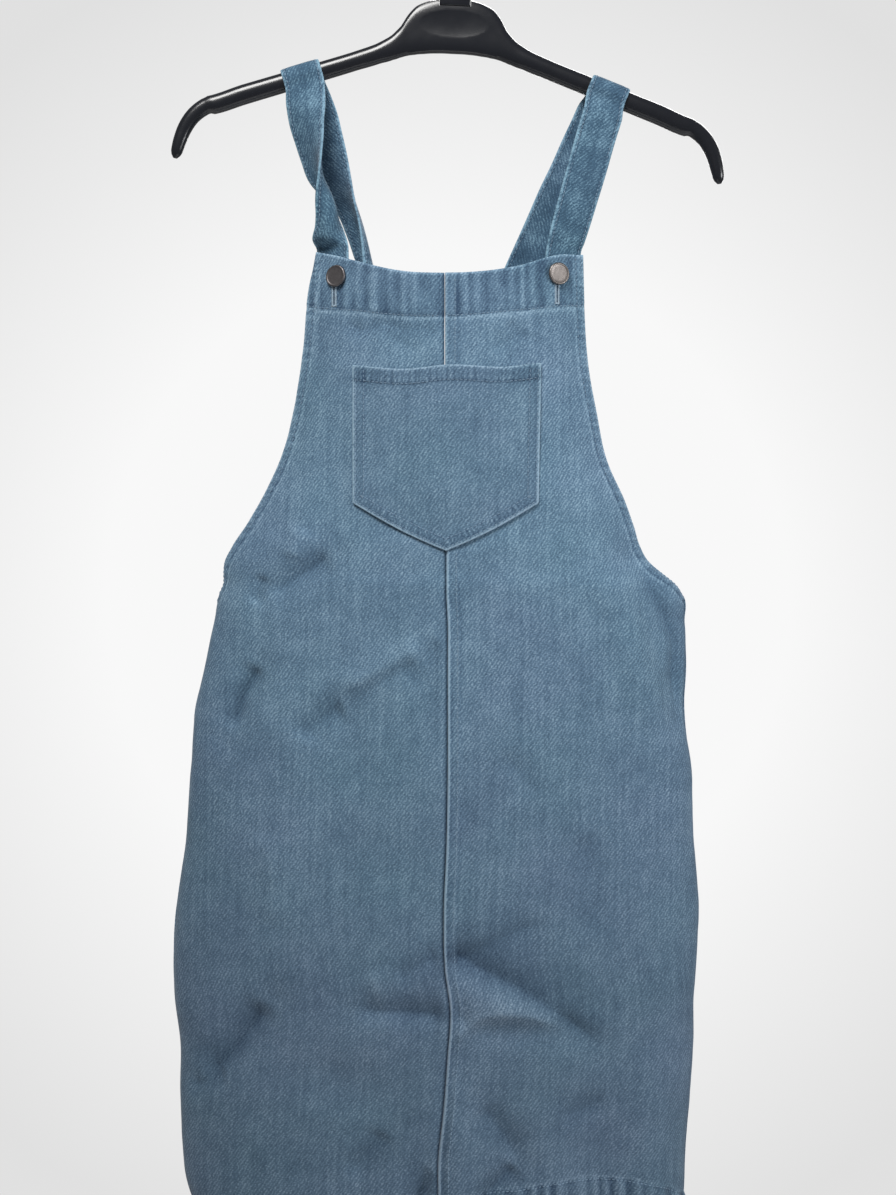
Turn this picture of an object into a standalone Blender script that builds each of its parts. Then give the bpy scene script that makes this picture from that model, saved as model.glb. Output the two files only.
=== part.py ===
"""A denim dungaree dress that hangs by its two straps on a moulded clothes hanger.

The origin is the inside top of the hanger's hook. +X is to the right as the dress is looked at from
the front, +Z is up, and the front faces -Y. Sizes below are in millimetres. The word drop means the
distance down from the origin.
"""

import math

import bmesh
import bpy
import numpy as np
from mathutils import Matrix, Vector

MM = 0.001

# Cloth
CLOTH = 1.2
TURNED_CLOTH = 2.2
STRAP_CLOTH = 2.2
SEAM_GAP = 0.3
LAYER_GAP = 0.35
BIB_TURNING = 37.0
HEM_TURNING = 18.0
TURNING_STEP = 8.0
UNDERARM_DROP = 519.0
SHARP_ANGLE = math.radians(50)

# Folds: how high a fold stands at its ends, as a share of its middle, and over what share of a
# half's turn the folds fade out towards the side edge and towards the centre seam.
FOLD_END_SHARE = 0.55
FOLD_FADE_AT_EDGE = 0.16
FOLD_FADE_AT_SEAM = 0.06

# Hanger
HANGER_TILT = math.radians(2.7)
HANGER_ARM_SLOPE = math.radians(19.5)
HOOK_INNER_RADIUS = 20.0
HOOK_ROD_RADIUS = 3.6
HOOK_NECK = ((0.0, 58.0), (0.2, 51.0), (2.2, 46.5), (6.0, 43.0))
HOOK_START_ANGLE = -62
HOOK_END_ANGLE = 206
HOOK_ANGLE_STEP = 12
BOSS_WIDTH = 24.0
BOSS_DEPTH = 12.4
BOSS_BOTTOM_DROP = 67.0
BOSS_TOP_DROP = 53.0
BOSS_ROUNDING = 1.2
NOTCH_DEPTH = 40.0
NOTCH_HEIGHT = 20.0
OVAL_WIDTH = 54.0
OVAL_HEIGHT = 22.0
OVAL_DROP = 81.0
OVAL_RECESS = 0.6
OVAL_STEPS = 32

# Straps and buttons
STRAP_WIDTH = 30.0
STRAP_STEPS_ACROSS = 4
STRAP_CUP_SHORTENING = 5.6
ARM_CLEARANCE = 0.7
WRAP_START_ANGLE = -25
WRAP_END_ANGLE = 205
WRAP_ROWS = 12
BUTTON_NECK_RADIUS = 3.4
BUTTON_TACK_RADIUS = 5.5
BUTTON_STEPS = 24
# The cap's outline from its middle round its rim to the neck: radius and height over the cloth.
BUTTON_CAP = ((0.0, 3.3), (6.7, 3.3), (7.2, 3.6), (8.0, 3.4), (8.5, 2.7), (8.5, 1.7), (8.0, 0.8))
BUTTON_SEAT_HEIGHT = 0.8
TACK_GAP = 0.45
TACK_HEIGHT = 1.2
TACK_ROUNDING = 0.6
NECK_CLEARANCE = 0.35
HOLE_REACH = 8.0
BUTTONHOLE_LENGTH = 22.0
BUTTONHOLE_WIDTH = 2.0
BUTTONHOLE_CUT_DEPTH = 12.0
LEFT_BUTTON = (-93.0, 277.5)
RIGHT_BUTTON = (75.0, 276.0)

# The front, by drop: where its left edge, centre seam and right edge lie across and in depth, and
# how far round, in degrees, each half has turned where it ends.
FRONT_COLUMNS = ("drop", "left", "seam", "right", "left_y", "seam_y", "right_y", "left_turn", "right_turn")
FRONT_ROWS = (
    (252, -109, -11, 94, -4.0, -38, -11.0, 38, 30),
    (300, -117, -11, 96, -5.0, -39, -10.5, 40, 32),
    (335, -120, -11, 98, -6.0, -40, -10.0, 43, 36),
    (379, -127, -11, 105, -6.5, -42, -9.5, 49, 42),
    (419, -138, -11, 114, -6.5, -43, -8.5, 56, 50),
    (448, -152, -11, 127, -6.0, -44, -7.0, 64, 60),
    (468, -164, -11, 134, -5.0, -44, -6.0, 71, 67),
    (483, -174, -10, 139, -4.0, -45, -5.0, 77, 73),
    (495, -180, -10, 146, -2.8, -45, -3.8, 82, 78),
    (504, -181, -10, 156, -1.8, -45, -2.5, 86, 84),
    (512, -181, -10, 166, -0.9, -46, -1.2, 89, 88),
    (519, -184, -10, 171, -0.15, -46, -0.15, 90, 90),
    (542, -189, -9, 174, -0.15, -46, -0.15, 90, 90),
    (575, -196, -9, 175, -0.15, -47, -0.15, 90, 90),
    (606, -203, -9, 174, -0.15, -48, -0.15, 90, 90),
    (650, -206, -9, 178, -0.15, -49, -0.15, 90, 90),
    (710, -211, -10, 180, -0.15, -50, -0.15, 90, 90),
    (760, -218, -12, 184, -0.15, -51, -0.15, 90, 90),
    (800, -220, -11, 183, -0.15, -51, -0.15, 90, 90),
    (832, -219, -7, 181, -0.15, -51, -0.15, 90, 90),
    (865, -215, -9, 181, -0.15, -51, -0.15, 90, 90),
    (905, -214, -12, 178, -0.15, -52, -0.15, 90, 90),
    (945, -213, -16, 175, -0.15, -52, -0.15, 90, 90),
    (970, -210, -16, 174, -0.15, -52, -0.15, 90, 90),
    (1000, -200, -16, 172, -0.15, -50, -0.15, 90, 90),
)

# The back, in the same way. Its top edge lies lower than the bib's, and the straps are sewn to it.
BACK_ROWS = (
    (368, -80, -25, 29, 10.0, 14, 10.0, 25, 25),
    (400, -84, -24, 34, 9.0, 17, 9.0, 30, 30),
    (430, -97, -21, 48, 7.5, 21, 7.5, 38, 38),
    (448, -109, -19, 62, 6.5, 24, 6.5, 46, 46),
    (468, -127, -16, 88, 5.0, 28, 5.0, 56, 56),
    (483, -143, -14, 112, 3.8, 31, 3.8, 66, 66),
    (495, -159, -12, 133, 2.6, 33, 2.6, 75, 75),
    (504, -171, -11, 150, 1.6, 34, 1.6, 82, 82),
    (512, -180, -10, 163, 0.8, 35, 0.8, 87, 87),
    (519, -184, -10, 171, 0.15, 35, 0.15, 90, 90),
    (542, -189, -9, 174, 0.15, 37, 0.15, 90, 90),
    (575, -196, -9, 175, 0.15, 39, 0.15, 90, 90),
    (606, -203, -9, 174, 0.15, 40, 0.15, 90, 90),
    (650, -206, -9, 178, 0.15, 41, 0.15, 90, 90),
    (710, -211, -10, 180, 0.15, 42, 0.15, 90, 90),
    (760, -218, -12, 184, 0.15, 43, 0.15, 90, 90),
    (800, -220, -11, 183, 0.15, 43, 0.15, 90, 90),
    (832, -219, -10, 181, 0.15, 43, 0.15, 90, 90),
    (865, -215, -10, 181, 0.15, 43, 0.15, 90, 90),
    (905, -214, -12, 178, 0.15, 43, 0.15, 90, 90),
    (945, -213, -14, 175, 0.15, 43, 0.15, 90, 90),
    (970, -210, -15, 174, 0.15, 43, 0.15, 90, 90),
    (1000, -200, -16, 172, 0.15, 42, 0.15, 90, 90),
)

# The bib's top edge and the hem of the front and of the back: drop against distance across.
BIB_TOP = (
    (-109, 256.5),
    (-92, 261.5),
    (-66, 270),
    (-45, 275.5),
    (-10, 278),
    (46, 271),
    (75, 261.5),
    (94, 260),
)
FRONT_HEM = (
    (-200, 1001),
    (-150, 995),
    (-60, 989),
    (-16, 987),
    (60, 985),
    (110, 983),
    (150, 990),
    (172, 1000),
)
BACK_HEM = ((-200, 1001), (-120, 1004), (-15, 1006), (100, 1004), (172, 1000))
BACK_TOP = ((-80, 369), (-25, 373), (29, 369))

# The largest folds. Each row is one end's x and drop, the other end's x and drop, how far the fold
# stands out of the cloth (less than 0 is a trough) and its half width. Folds fade out at both ends.
FRONT_FOLDS = (
    (-92, 488, -148, 522, -3.0, 12),
    (-116, 466, -136, 500, 2.0, 13),
    (-150, 575, -180, 628, -3.5, 12),
    (-20, 556, -100, 597, 2.0, 15),
    (-70, 606, -112, 622, -2.5, 16),
    (132, 490, 170, 612, -5.0, 13),
    (118, 520, 156, 640, 3.0, 15),
    (-2, 792, 104, 860, -3.5, 13),
    (2, 815, 96, 842, 3.0, 12),
    (0, 845, 84, 850, -3.0, 12),
    (-76, 833, -8, 835, -2.5, 12),
    (-142, 826, -200, 890, -4.0, 14),
    (-118, 880, -52, 892, -4.0, 22),
    (-52, 918, -88, 975, -3.0, 15),
    (14, 900, 48, 950, -3.0, 15),
    (-20, 945, -36, 1010, -4.0, 13),
    (44, 930, 16, 1010, -4.0, 14),
    (98, 905, 112, 1020, -6.0, 22),
    (146, 880, 152, 1020, 4.0, 18),
    (-4, 900, -2, 1020, 4.0, 15),
)
BACK_FOLDS = (
    (-60, 470, -140, 540, -3.0, 15),
    (40, 470, 130, 545, -3.0, 15),
    (-40, 700, -110, 790, 3.0, 20),
    (20, 720, 100, 830, -3.0, 20),
    (-130, 830, -60, 900, -3.5, 18),
    (60, 860, 60, 1020, 5.0, 24),
    (-70, 880, -80, 1020, -5.0, 22),
    (120, 900, 124, 1020, -4.0, 18),
    (-150, 890, -146, 1020, 4.0, 18),
)

# The pocket: the drop of its top edge across, and its corners.
POCKET_TOP = ((-79.5, 347), (-40, 351), (-9, 348), (35, 349), (61, 345))
POCKET_LEFT = -79.5
POCKET_RIGHT_TOP = 61.0
POCKET_RIGHT_LOW = 59.0
POCKET_POINT = (-10.0, 487.0)
POCKET_SHOULDER_DROP = 451.0
POCKET_STEPS_ACROSS = 14
POCKET_STEPS_DOWN = 12

# A strap's stretches, from the bib up to the hanger and from there down to the back. Each row is
# a drop, the middle's x and y, how far the strap has turned about its own length, in degrees, and
# how far it is cupped.
LEFT_STRAP_FRONT = (
    (246, -99.8, -9.3, 160, 9.0),
    (237, -100.6, -9.8, 146, 9.4),
    (228, -102.9, -10.0, 128, 9.4),
    (219, -106.0, -10.2, 108, 9.0),
    (210, -108.6, -10.2, 90, 7.0),
    (201, -111.4, -10.2, 70, 5.5),
    (184, -113.2, -10.0, 56, 3.0),
    (170, -115.0, -9.8, 42, 1.5),
    (157, -116.9, -9.5, 26, 0.7),
    (145, -117.6, -9.2, 9, 0.2),
)
LEFT_STRAP_BACK = (
    (140, -113.0, 9.0, 2, 0.0),
    (152, -108.5, 9.6, 8, 0.0),
    (165, -105.0, 10.2, 15, -0.3),
    (185, -99.5, 11.0, 25, -1.0),
    (204, -94.0, 12.0, 38, -3.0),
    (216, -89.0, 12.5, 53, -5.0),
    (238, -82.0, 13.0, 63, -7.0),
    (260, -77.0, 13.5, 75, -8.0),
    (283, -72.0, 13.5, 98, -8.0),
    (303, -68.5, 12.5, 128, -6.0),
    (322, -65.0, 10.5, 156, -3.5),
    (341, -62.0, 9.0, 174, -1.0),
    (356, -59.5, 9.0, 180, 0.0),
)
RIGHT_STRAP_FRONT = (
    (246, 82.9, -14.2, -24, 0.0),
    (232, 87.0, -13.4, -19, 0.0),
    (218, 91.0, -12.7, -15, 0.0),
    (203, 95.4, -12.0, -11, 0.0),
    (189, 99.4, -11.3, -8, 0.0),
    (176, 103.0, -10.6, -6, 0.0),
    (163, 106.8, -10.0, -4, 0.0),
    (152, 110.2, -9.5, -2, 0.0),
)
RIGHT_STRAP_BACK = (
    (146, 107.0, 9.0, 0, 0.0),
    (158, 101.5, 9.5, 0, 0.0),
    (172, 94.8, 10.0, 0, 0.0),
    (191, 86.4, 10.4, 0, 0.0),
    (212, 76.3, 10.8, 0, 0.0),
    (231, 68.0, 11.0, 0, 0.0),
    (249, 60.0, 11.0, 0, 0.0),
    (270, 50.5, 10.8, 0, 0.0),
    (295, 39.5, 10.4, 0, 0.0),
    (320, 28.5, 9.8, 0, 0.0),
    (342, 18.5, 9.4, 0, 0.0),
    (356, 12.5, 9.2, 0, 0.0),
)
LEFT_STRAP_ON_ARM = -120.5
RIGHT_STRAP_ON_ARM = 114.5

# Where a strap meets the back's top edge across, and how far it moves across for each step down.
LEFT_STRAP_AT_BACK = (-57.5, 0.0)
RIGHT_STRAP_AT_BACK = (7.5, -0.3)

# The drop and the middle's x of a strap's rows behind the bib, and the drops of its rows behind
# the back's top edge.
LEFT_STRAP_BIB_ROWS = ((294, -98.3), (286, -98.4), (277.5, -98.5), (269, -98.7), (261, -98.9), (254.5, -99.1))
RIGHT_STRAP_BIB_ROWS = ((292, 79.5), (284, 79.9), (276, 80.2), (268, 80.7), (257, 81.6))
STRAP_BACK_DROPS = (368, 380, 392)

# One half of the hanger: where its middle line runs, half its height and half its depth there, how
# far its section leans out, in degrees, and how square the section is (2 is an ellipse).
HANGER_COLUMNS = ("x", "drop", "half_height", "half_depth", "lean", "square")
HANGER_ROWS = (
    (0.0, 81.9, 20.5, 5.5, 0, 5.0),
    (12.0, 82.1, 20.5, 5.5, 0, 5.0),
    (22.0, 83.8, 19.7, 5.5, 0, 4.6),
    (30.0, 86.4, 18.3, 5.5, 0, 4.2),
    (36.0, 90.5, 15.4, 5.5, 0, 3.6),
    (41.0, 95.7, 11.9, 5.6, 0, 3.0),
    (47.0, 100.3, 9.2, 5.8, 5, 2.7),
    (57.0, 105.2, 7.5, 6.2, 13, 2.4),
    (75.0, 112.0, 7.0, 6.5, 19, 2.3),
    (104.0, 122.3, 7.1, 6.5, 19.5, 2.3),
    (134.0, 132.9, 7.4, 6.5, 19.5, 2.3),
    (160.0, 142.0, 7.5, 6.5, 19, 2.3),
    (185.5, 151.3, 7.3, 6.3, 24, 2.3),
    (187.0, 151.6, 6.3, 5.7, 27, 2.3),
    (192.0, 154.6, 6.2, 5.6, 38, 2.3),
    (198.3, 160.6, 5.9, 5.4, 53, 2.3),
    (203.7, 169.5, 5.6, 5.2, 66, 2.3),
    (207.5, 180.5, 5.1, 4.9, 74, 2.3),
    (209.3, 188.0, 4.5, 4.3, 77, 2.2),
    (210.0, 191.6, 3.2, 3.1, 79, 2.0),
    (210.3, 193.2, 1.6, 1.6, 80, 2.0),
)
HANGER_SIDES = 14

# The panels' grids: columns of a half, how far apart the rows are in each stretch, where those
# stretches end, and how far down a panel its rows ease from its shaped edge to level.
HALF_STEPS_ACROSS = 10
TOP_SPACING = 16.0
UNDERARM_SPACING = 9.0
BODY_SPACING = 17.0
ARMHOLE_CURVE_DROP = 465.0
HEM_ROWS_DROP = 965.0
EDGE_EASE = 95.0


def table(columns, rows):
    """The rows of a table as one array for each named column."""
    return {name: np.array([row[i] for row in rows], float) for i, name in enumerate(columns)}


def through(at, knots, values):
    """A smooth curve through the values at the knots, read at the places asked for."""
    at = np.clip(np.asarray(at, float), knots[0], knots[-1])
    slopes = np.gradient(values, knots)
    i = np.clip(np.searchsorted(knots, at, side="right") - 1, 0, len(knots) - 2)
    width = knots[i + 1] - knots[i]
    t = (at - knots[i]) / width
    start = (2 * t**3 - 3 * t**2 + 1) * values[i] + (t**3 - 2 * t**2 + t) * width * slopes[i]
    end = (3 * t**2 - 2 * t**3) * values[i + 1] + (t**3 - t**2) * width * slopes[i + 1]
    return start + end


def along(pairs, at):
    """A curve given as pairs of distance and height, read at the distances asked for."""
    knots, values = np.array(pairs, float).T
    return through(at, knots, values)


def step_up(value, start, end):
    """0 before start, 1 after end, and a soft step between."""
    t = np.clip((value - start) / (end - start), 0, 1)
    return t * t * (3 - 2 * t)


class Panel:
    """One side of the dress, front or back, as a smooth surface."""

    def __init__(self, rows, folds, facing):
        self.shape = table(FRONT_COLUMNS, rows)
        self.folds = folds
        self.facing = facing

    def at(self, name, drop):
        return through(drop, self.shape["drop"], self.shape[name])

    def half(self, side, drop):
        """How wide and how deep this half is, and how far it turns."""
        edge = {-1: "left", 1: "right"}[side]
        width = np.abs(self.at(edge, drop) - self.at("seam", drop))
        depth = np.abs(self.at(edge + "_y", drop) - self.at("seam_y", drop))
        return width, depth, np.radians(self.at(edge + "_turn", drop))

    def angle_across(self, side, x, drop):
        """The angle round the half at which the surface lies this far across."""
        width, _, turn = self.half(side, drop)
        share = np.maximum(side * (x - self.at("seam", drop)) / width, 0)
        return np.arcsin(np.minimum(share * np.sin(turn), 1))

    def fold_height(self, x, drop):
        """How far the folds lift the cloth here."""
        height = np.zeros(np.broadcast(x, drop).shape)
        for x0, drop0, x1, drop1, lift, spread in self.folds:
            run = np.hypot(x1 - x0, drop1 - drop0)
            ux, uz = (x1 - x0) / run, (drop1 - drop0) / run
            far = (x - x0) * ux + (drop - drop0) * uz
            aside = (x - x0) * -uz + (drop - drop0) * ux
            past = np.maximum(np.maximum(-far, far - run), 0)
            swell = FOLD_END_SHARE + (1 - FOLD_END_SHARE) * np.sin(np.pi * np.clip(far / run, 0, 1))
            height = height + lift * swell * np.exp(-((aside / spread) ** 2) - (past / spread) ** 2)
        return height

    def point(self, side, angle, drop, out=0.0, folded=True):
        """A point of the surface, moved outwards by a distance, as arrays of x, y and z."""
        width, depth, turn = self.half(side, drop)
        x = self.at("seam", drop) + side * width * np.sin(angle) / np.sin(turn)
        back = depth * (1 - np.cos(angle)) / (1 - np.cos(turn))
        y = self.at("seam_y", drop) - self.facing * back
        across = width * np.cos(angle) / np.sin(turn)
        inward = depth * np.sin(angle) / (1 - np.cos(turn))
        size = np.hypot(across, inward)
        normal_x = side * inward / size
        normal_y = self.facing * across / size
        if folded:
            to_edge = step_up(turn - angle, 0.0, FOLD_FADE_AT_EDGE * turn)
            to_seam = 1.0 if self.facing > 0 else step_up(angle, 0.0, FOLD_FADE_AT_SEAM * turn)
            out = out + self.fold_height(x, drop) * to_edge * to_seam
        return np.stack([x + normal_x * out, y + normal_y * out, -drop + 0 * x], axis=-1)

    def over(self, x, drop, out=0.0, folded=True):
        """The point of the surface this far across and down."""
        x, drop = np.broadcast_arrays(np.asarray(x, float), np.asarray(drop, float))
        seam = self.at("seam", drop)
        left = self.point(-1, self.angle_across(-1, x, drop), drop, out, folded)
        right = self.point(1, self.angle_across(1, x, drop), drop, out, folded)
        return np.where((x < seam)[..., None], left, right)

    def normal(self, x, drop):
        """The outward direction square to the surface here, its folds left out."""
        across = self.over(x + 1, drop, 0.0, False) - self.over(x - 1, drop, 0.0, False)
        down = self.over(x, drop + 1, 0.0, False) - self.over(x, drop - 1, 0.0, False)
        square = np.cross(down, across) * -self.facing
        return square / np.linalg.norm(square)


FRONT = Panel(FRONT_ROWS, FRONT_FOLDS, -1)
BACK = Panel(BACK_ROWS, BACK_FOLDS, 1)


def material(name, colour, roughness, metallic=0.0):
    made = bpy.data.materials.new(name)
    made.use_nodes = True
    surface = made.node_tree.nodes["Principled BSDF"]
    surface.inputs["Base Color"].default_value = (*colour, 1.0)
    surface.inputs["Roughness"].default_value = roughness
    surface.inputs["Metallic"].default_value = metallic
    return made


def clear_scene():
    for old in list(bpy.data.objects):
        bpy.data.objects.remove(old, do_unlink=True)


def new_object(name, mesh, collection, finish=None):
    made = bpy.data.objects.new(name, mesh)
    collection.objects.link(made)
    if finish is not None:
        mesh.materials.append(finish)
    return made


def wall(name, outer, inner, collection, finish):
    """A closed wall between two grids of points of one size."""
    rows, columns = outer.shape[:2]
    shell = bmesh.new()
    faces = [[[shell.verts.new(Vector(p) * MM) for p in row] for row in grid] for grid in (outer, inner)]
    for grid in faces:
        for r in range(rows - 1):
            for c in range(columns - 1):
                shell.faces.new((grid[r][c], grid[r][c + 1], grid[r + 1][c + 1], grid[r + 1][c]))
    rim = [(0, c) for c in range(columns)]
    rim += [(r, columns - 1) for r in range(1, rows)]
    rim += [(rows - 1, c) for c in range(columns - 2, -1, -1)]
    rim += [(r, 0) for r in range(rows - 2, 0, -1)]
    front_grid, back_grid = faces
    for (r, c), (r2, c2) in zip(rim, rim[1:] + rim[:1]):
        shell.faces.new((front_grid[r][c], front_grid[r2][c2], back_grid[r2][c2], back_grid[r][c]))
    bmesh.ops.recalc_face_normals(shell, faces=shell.faces)
    mesh = bpy.data.meshes.new(name)
    shell.to_mesh(mesh)
    shell.free()
    made = new_object(name, mesh, collection, finish)
    mesh.shade_smooth()
    mesh.set_sharp_from_angle(angle=SHARP_ANGLE)
    return made


def cut(target, cutter, operation="DIFFERENCE"):
    change = target.modifiers.new(cutter.name, "BOOLEAN")
    change.operation = operation
    change.object = cutter
    change.solver = "EXACT"
    cutter.hide_render = True
    cutter.display_type = "WIRE"


def cylinder(name, radius, start, end, collection, sides=BUTTON_STEPS):
    """A closed cylinder from one point to another, in millimetres."""
    start, end = Vector(start) * MM, Vector(end) * MM
    shape = bmesh.new()
    bmesh.ops.create_cone(
        shape,
        cap_ends=True,
        segments=sides,
        radius1=radius * MM,
        radius2=radius * MM,
        depth=(end - start).length,
    )
    turn = (end - start).to_track_quat("Z", "Y").to_matrix().to_4x4()
    shape.transform(Matrix.Translation((start + end) / 2) @ turn)
    mesh = bpy.data.meshes.new(name)
    shape.to_mesh(mesh)
    shape.free()
    return new_object(name, mesh, collection)


def block(name, centre, size, collection, frame=None):
    """A closed box, in millimetres, in its own axes if a frame is given."""
    shape = bmesh.new()
    bmesh.ops.create_cube(shape, size=1.0)
    place = Matrix.Translation(Vector(centre) * MM) @ (frame or Matrix.Identity(4))
    shape.transform(place @ Matrix.Diagonal((*(side * MM for side in size), 1.0)))
    mesh = bpy.data.meshes.new(name)
    shape.to_mesh(mesh)
    shape.free()
    return new_object(name, mesh, collection)


def rows_between(start, end, spacing):
    return np.linspace(start, end, max(2, round((end - start) / spacing) + 1))


def row_drops(rows):
    """The drops of a panel's rows, closer together at the underarm."""
    top, hem = rows[0][0], rows[-1][0]
    return np.concatenate([
        rows_between(top, ARMHOLE_CURVE_DROP, TOP_SPACING)[:-1],
        rows_between(ARMHOLE_CURVE_DROP, UNDERARM_DROP, UNDERARM_SPACING)[:-1],
        rows_between(UNDERARM_DROP, HEM_ROWS_DROP, BODY_SPACING)[:-1],
        rows_between(HEM_ROWS_DROP, hem, BODY_SPACING),
    ])


def panel_grid(panel, side, angles_share, drops, top_edge, hem_edge):
    """Angles and drops of a panel's points, its first row on the top edge and its last on the hem."""
    drop = np.repeat(drops[:, None], len(angles_share), axis=1)
    _, _, turn = panel.half(side, drop)
    angle = turn * angles_share[None, :]
    x = panel.point(side, angle, drop, folded=False)[..., 0]
    to_top = 1 - step_up(drop, drops[0], drops[0] + EDGE_EASE)
    to_hem = step_up(drop, drops[-1] - EDGE_EASE, drops[-1])
    drop = drop + (along(top_edge, x) - drops[0]) * to_top + (along(hem_edge, x) - drops[-1]) * to_hem
    _, _, turn = panel.half(side, drop)
    return turn * angles_share[None, :], drop


def cloth_thickness(drop, top, hem, turning):
    """The wall's thickness: doubled where the top and the hem are turned in."""
    at_top = 1 - step_up(drop - top, turning, turning + TURNING_STEP)
    at_hem = step_up(drop - hem, -HEM_TURNING - TURNING_STEP, -HEM_TURNING)
    return CLOTH + (TURNED_CLOTH - CLOTH) * np.maximum(at_top, at_hem)


def front_panel(name, side, collection, finish):
    share = np.linspace(0, 1, HALF_STEPS_ACROSS + 1)
    angle, drop = panel_grid(FRONT, side, share, row_drops(FRONT_ROWS), BIB_TOP, FRONT_HEM)
    thick = cloth_thickness(drop, drop[:1], drop[-1:], BIB_TURNING)
    outer = FRONT.point(side, angle, drop)
    inner = FRONT.point(side, angle, drop, -thick)
    for grid in (outer, inner):
        grid[..., 0] += side * SEAM_GAP / 2 * (1 - share)[None, :]
    return wall(name, outer, inner, collection, finish)


def back_panel(name, collection, finish):
    half = np.linspace(0, 1, HALF_STEPS_ACROSS + 1)
    outer, inner = [], []
    for side, share in ((-1, half[::-1]), (1, half[1:])):
        angle, drop = panel_grid(BACK, side, share, row_drops(BACK_ROWS), BACK_TOP, BACK_HEM)
        thick = cloth_thickness(drop, drop[:1], drop[-1:], HEM_TURNING)
        outer.append(BACK.point(side, angle, drop))
        inner.append(BACK.point(side, angle, drop, -thick))
    return wall(name, np.concatenate(outer, axis=1), np.concatenate(inner, axis=1), collection, finish)


def chest_pocket(collection, finish):
    """A pointed patch sewn flat on the bib, made from the bib's own points, moved out."""
    across = np.linspace(0, 1, POCKET_STEPS_ACROSS + 1)
    down = np.linspace(0, 1, POCKET_STEPS_DOWN + 1)
    point_x, point_drop = POCKET_POINT
    low_x = np.where(
        across < 0.5,
        POCKET_LEFT + (point_x - POCKET_LEFT) * across * 2,
        point_x + (POCKET_RIGHT_LOW - point_x) * (across * 2 - 1),
    )
    low_drop = point_drop - (point_drop - POCKET_SHOULDER_DROP) * np.abs(across * 2 - 1)
    top_x = POCKET_LEFT + (POCKET_RIGHT_TOP - POCKET_LEFT) * across
    x = top_x + (low_x - top_x) * down[:, None]
    top_drop = along(POCKET_TOP, top_x)
    drop = top_drop + (low_drop - top_drop) * down[:, None]
    inner = FRONT.over(x, drop, LAYER_GAP)
    outer = FRONT.over(x, drop, LAYER_GAP + CLOTH)
    return wall("chest_pocket", outer, inner, collection, finish)


def tilted(x, drop):
    """A point of the level hanger, swung about the hook's apex to where it hangs."""
    return (
        x * math.cos(HANGER_TILT) - drop * math.sin(HANGER_TILT),
        drop * math.cos(HANGER_TILT) + x * math.sin(HANGER_TILT),
    )


def arm_at(x):
    """The hanger arm's middle, direction, half height and half depth at this place across."""
    side = 1 if x > 0 else -1
    shape = table(HANGER_COLUMNS, HANGER_ROWS)
    places = np.array([tilted(side * a, b) for a, b in zip(shape["x"], shape["drop"])])
    order = np.argsort(places[:, 0])
    drop = np.interp(x, places[order, 0], places[order, 1])
    half_height = np.interp(x, places[order, 0], shape["half_height"][order])
    half_depth = np.interp(x, places[order, 0], shape["half_depth"][order])
    lean = side * HANGER_ARM_SLOPE + HANGER_TILT
    return drop, lean, half_height, half_depth


def ribbon_row(centre, path, turn, cup):
    """Points across a strap: its middle, the way it runs, its turn and how far it is cupped."""
    turn = math.radians(turn)
    path = path / np.linalg.norm(path)
    width = np.array([math.cos(turn), -math.sin(turn), 0.0])
    width = width - width.dot(path) * path
    width = width / np.linalg.norm(width)
    out = np.cross(width, path)
    chord = math.sqrt(STRAP_WIDTH**2 - STRAP_CUP_SHORTENING * cup**2)
    places = np.linspace(-1, 1, STRAP_STEPS_ACROSS + 1)[:, None]
    return centre + width * places * chord / 2 - out * cup * (1 - places**2)


def free_stretch(rows):
    """The rows of a stretch that hangs free, each across the way that the strap runs there."""
    centres = np.array([(x, y, -drop) for drop, x, y, _, _ in rows], float)
    paths = np.gradient(centres, axis=0)
    return [ribbon_row(c, p, row[3], row[4]) for c, p, row in zip(centres, paths, rows)]


def arm_stretch(x):
    """The rows that wrap over the hanger's arm, from its front over its top to its back."""
    drop, lean, half_height, half_depth = arm_at(x)
    along_arm = np.array([math.cos(lean), 0.0, -math.sin(lean)])
    above = np.array([math.sin(lean), 0.0, math.cos(lean)])
    clear = ARM_CLEARANCE + STRAP_CLOTH / 2
    rows = []
    for angle in np.radians(np.linspace(WRAP_START_ANGLE, WRAP_END_ANGLE, WRAP_ROWS)):
        centre = np.array([x, -(half_depth + clear) * math.cos(angle), -drop])
        centre = centre + above * (half_height + clear) * math.sin(angle)
        places = np.linspace(-1, 1, STRAP_STEPS_ACROSS + 1)[:, None]
        rows.append(centre + along_arm * places * STRAP_WIDTH / 2)
    return rows


def bib_stretch(rows, turned):
    """The rows that lie behind the bib, made from the bib's own points, moved in."""
    places = np.linspace(-1, 1, STRAP_STEPS_ACROSS + 1) * turned
    depth = TURNED_CLOTH + LAYER_GAP + STRAP_CLOTH / 2
    found = []
    for drop, x in rows:
        normal = FRONT.normal(x, drop)
        reach = STRAP_WIDTH / 2 * abs(normal[1])
        found.append(FRONT.over(x + places * reach, drop, -depth, False))
    return found


def back_stretch(place, turned):
    """The rows sewn inside the back's top edge, made from the back's own points, moved in."""
    x, slope = place
    places = np.linspace(-1, 1, STRAP_STEPS_ACROSS + 1) * turned
    depth = TURNED_CLOTH + LAYER_GAP + STRAP_CLOTH / 2
    return [
        BACK.over(x + slope * (drop - STRAP_BACK_DROPS[0]) + places * STRAP_WIDTH / 2, drop, -depth, False)
        for drop in STRAP_BACK_DROPS
    ]


def strap(name, rows, collection, finish):
    """A closed strap of one thickness round the grid of its middle."""
    middle = np.array(rows)
    normal = np.cross(np.gradient(middle, axis=1), np.gradient(middle, axis=0))
    normal = normal / np.linalg.norm(normal, axis=2, keepdims=True)
    half = normal * STRAP_CLOTH / 2
    return wall(name, middle + half, middle - half, collection, finish)


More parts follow.
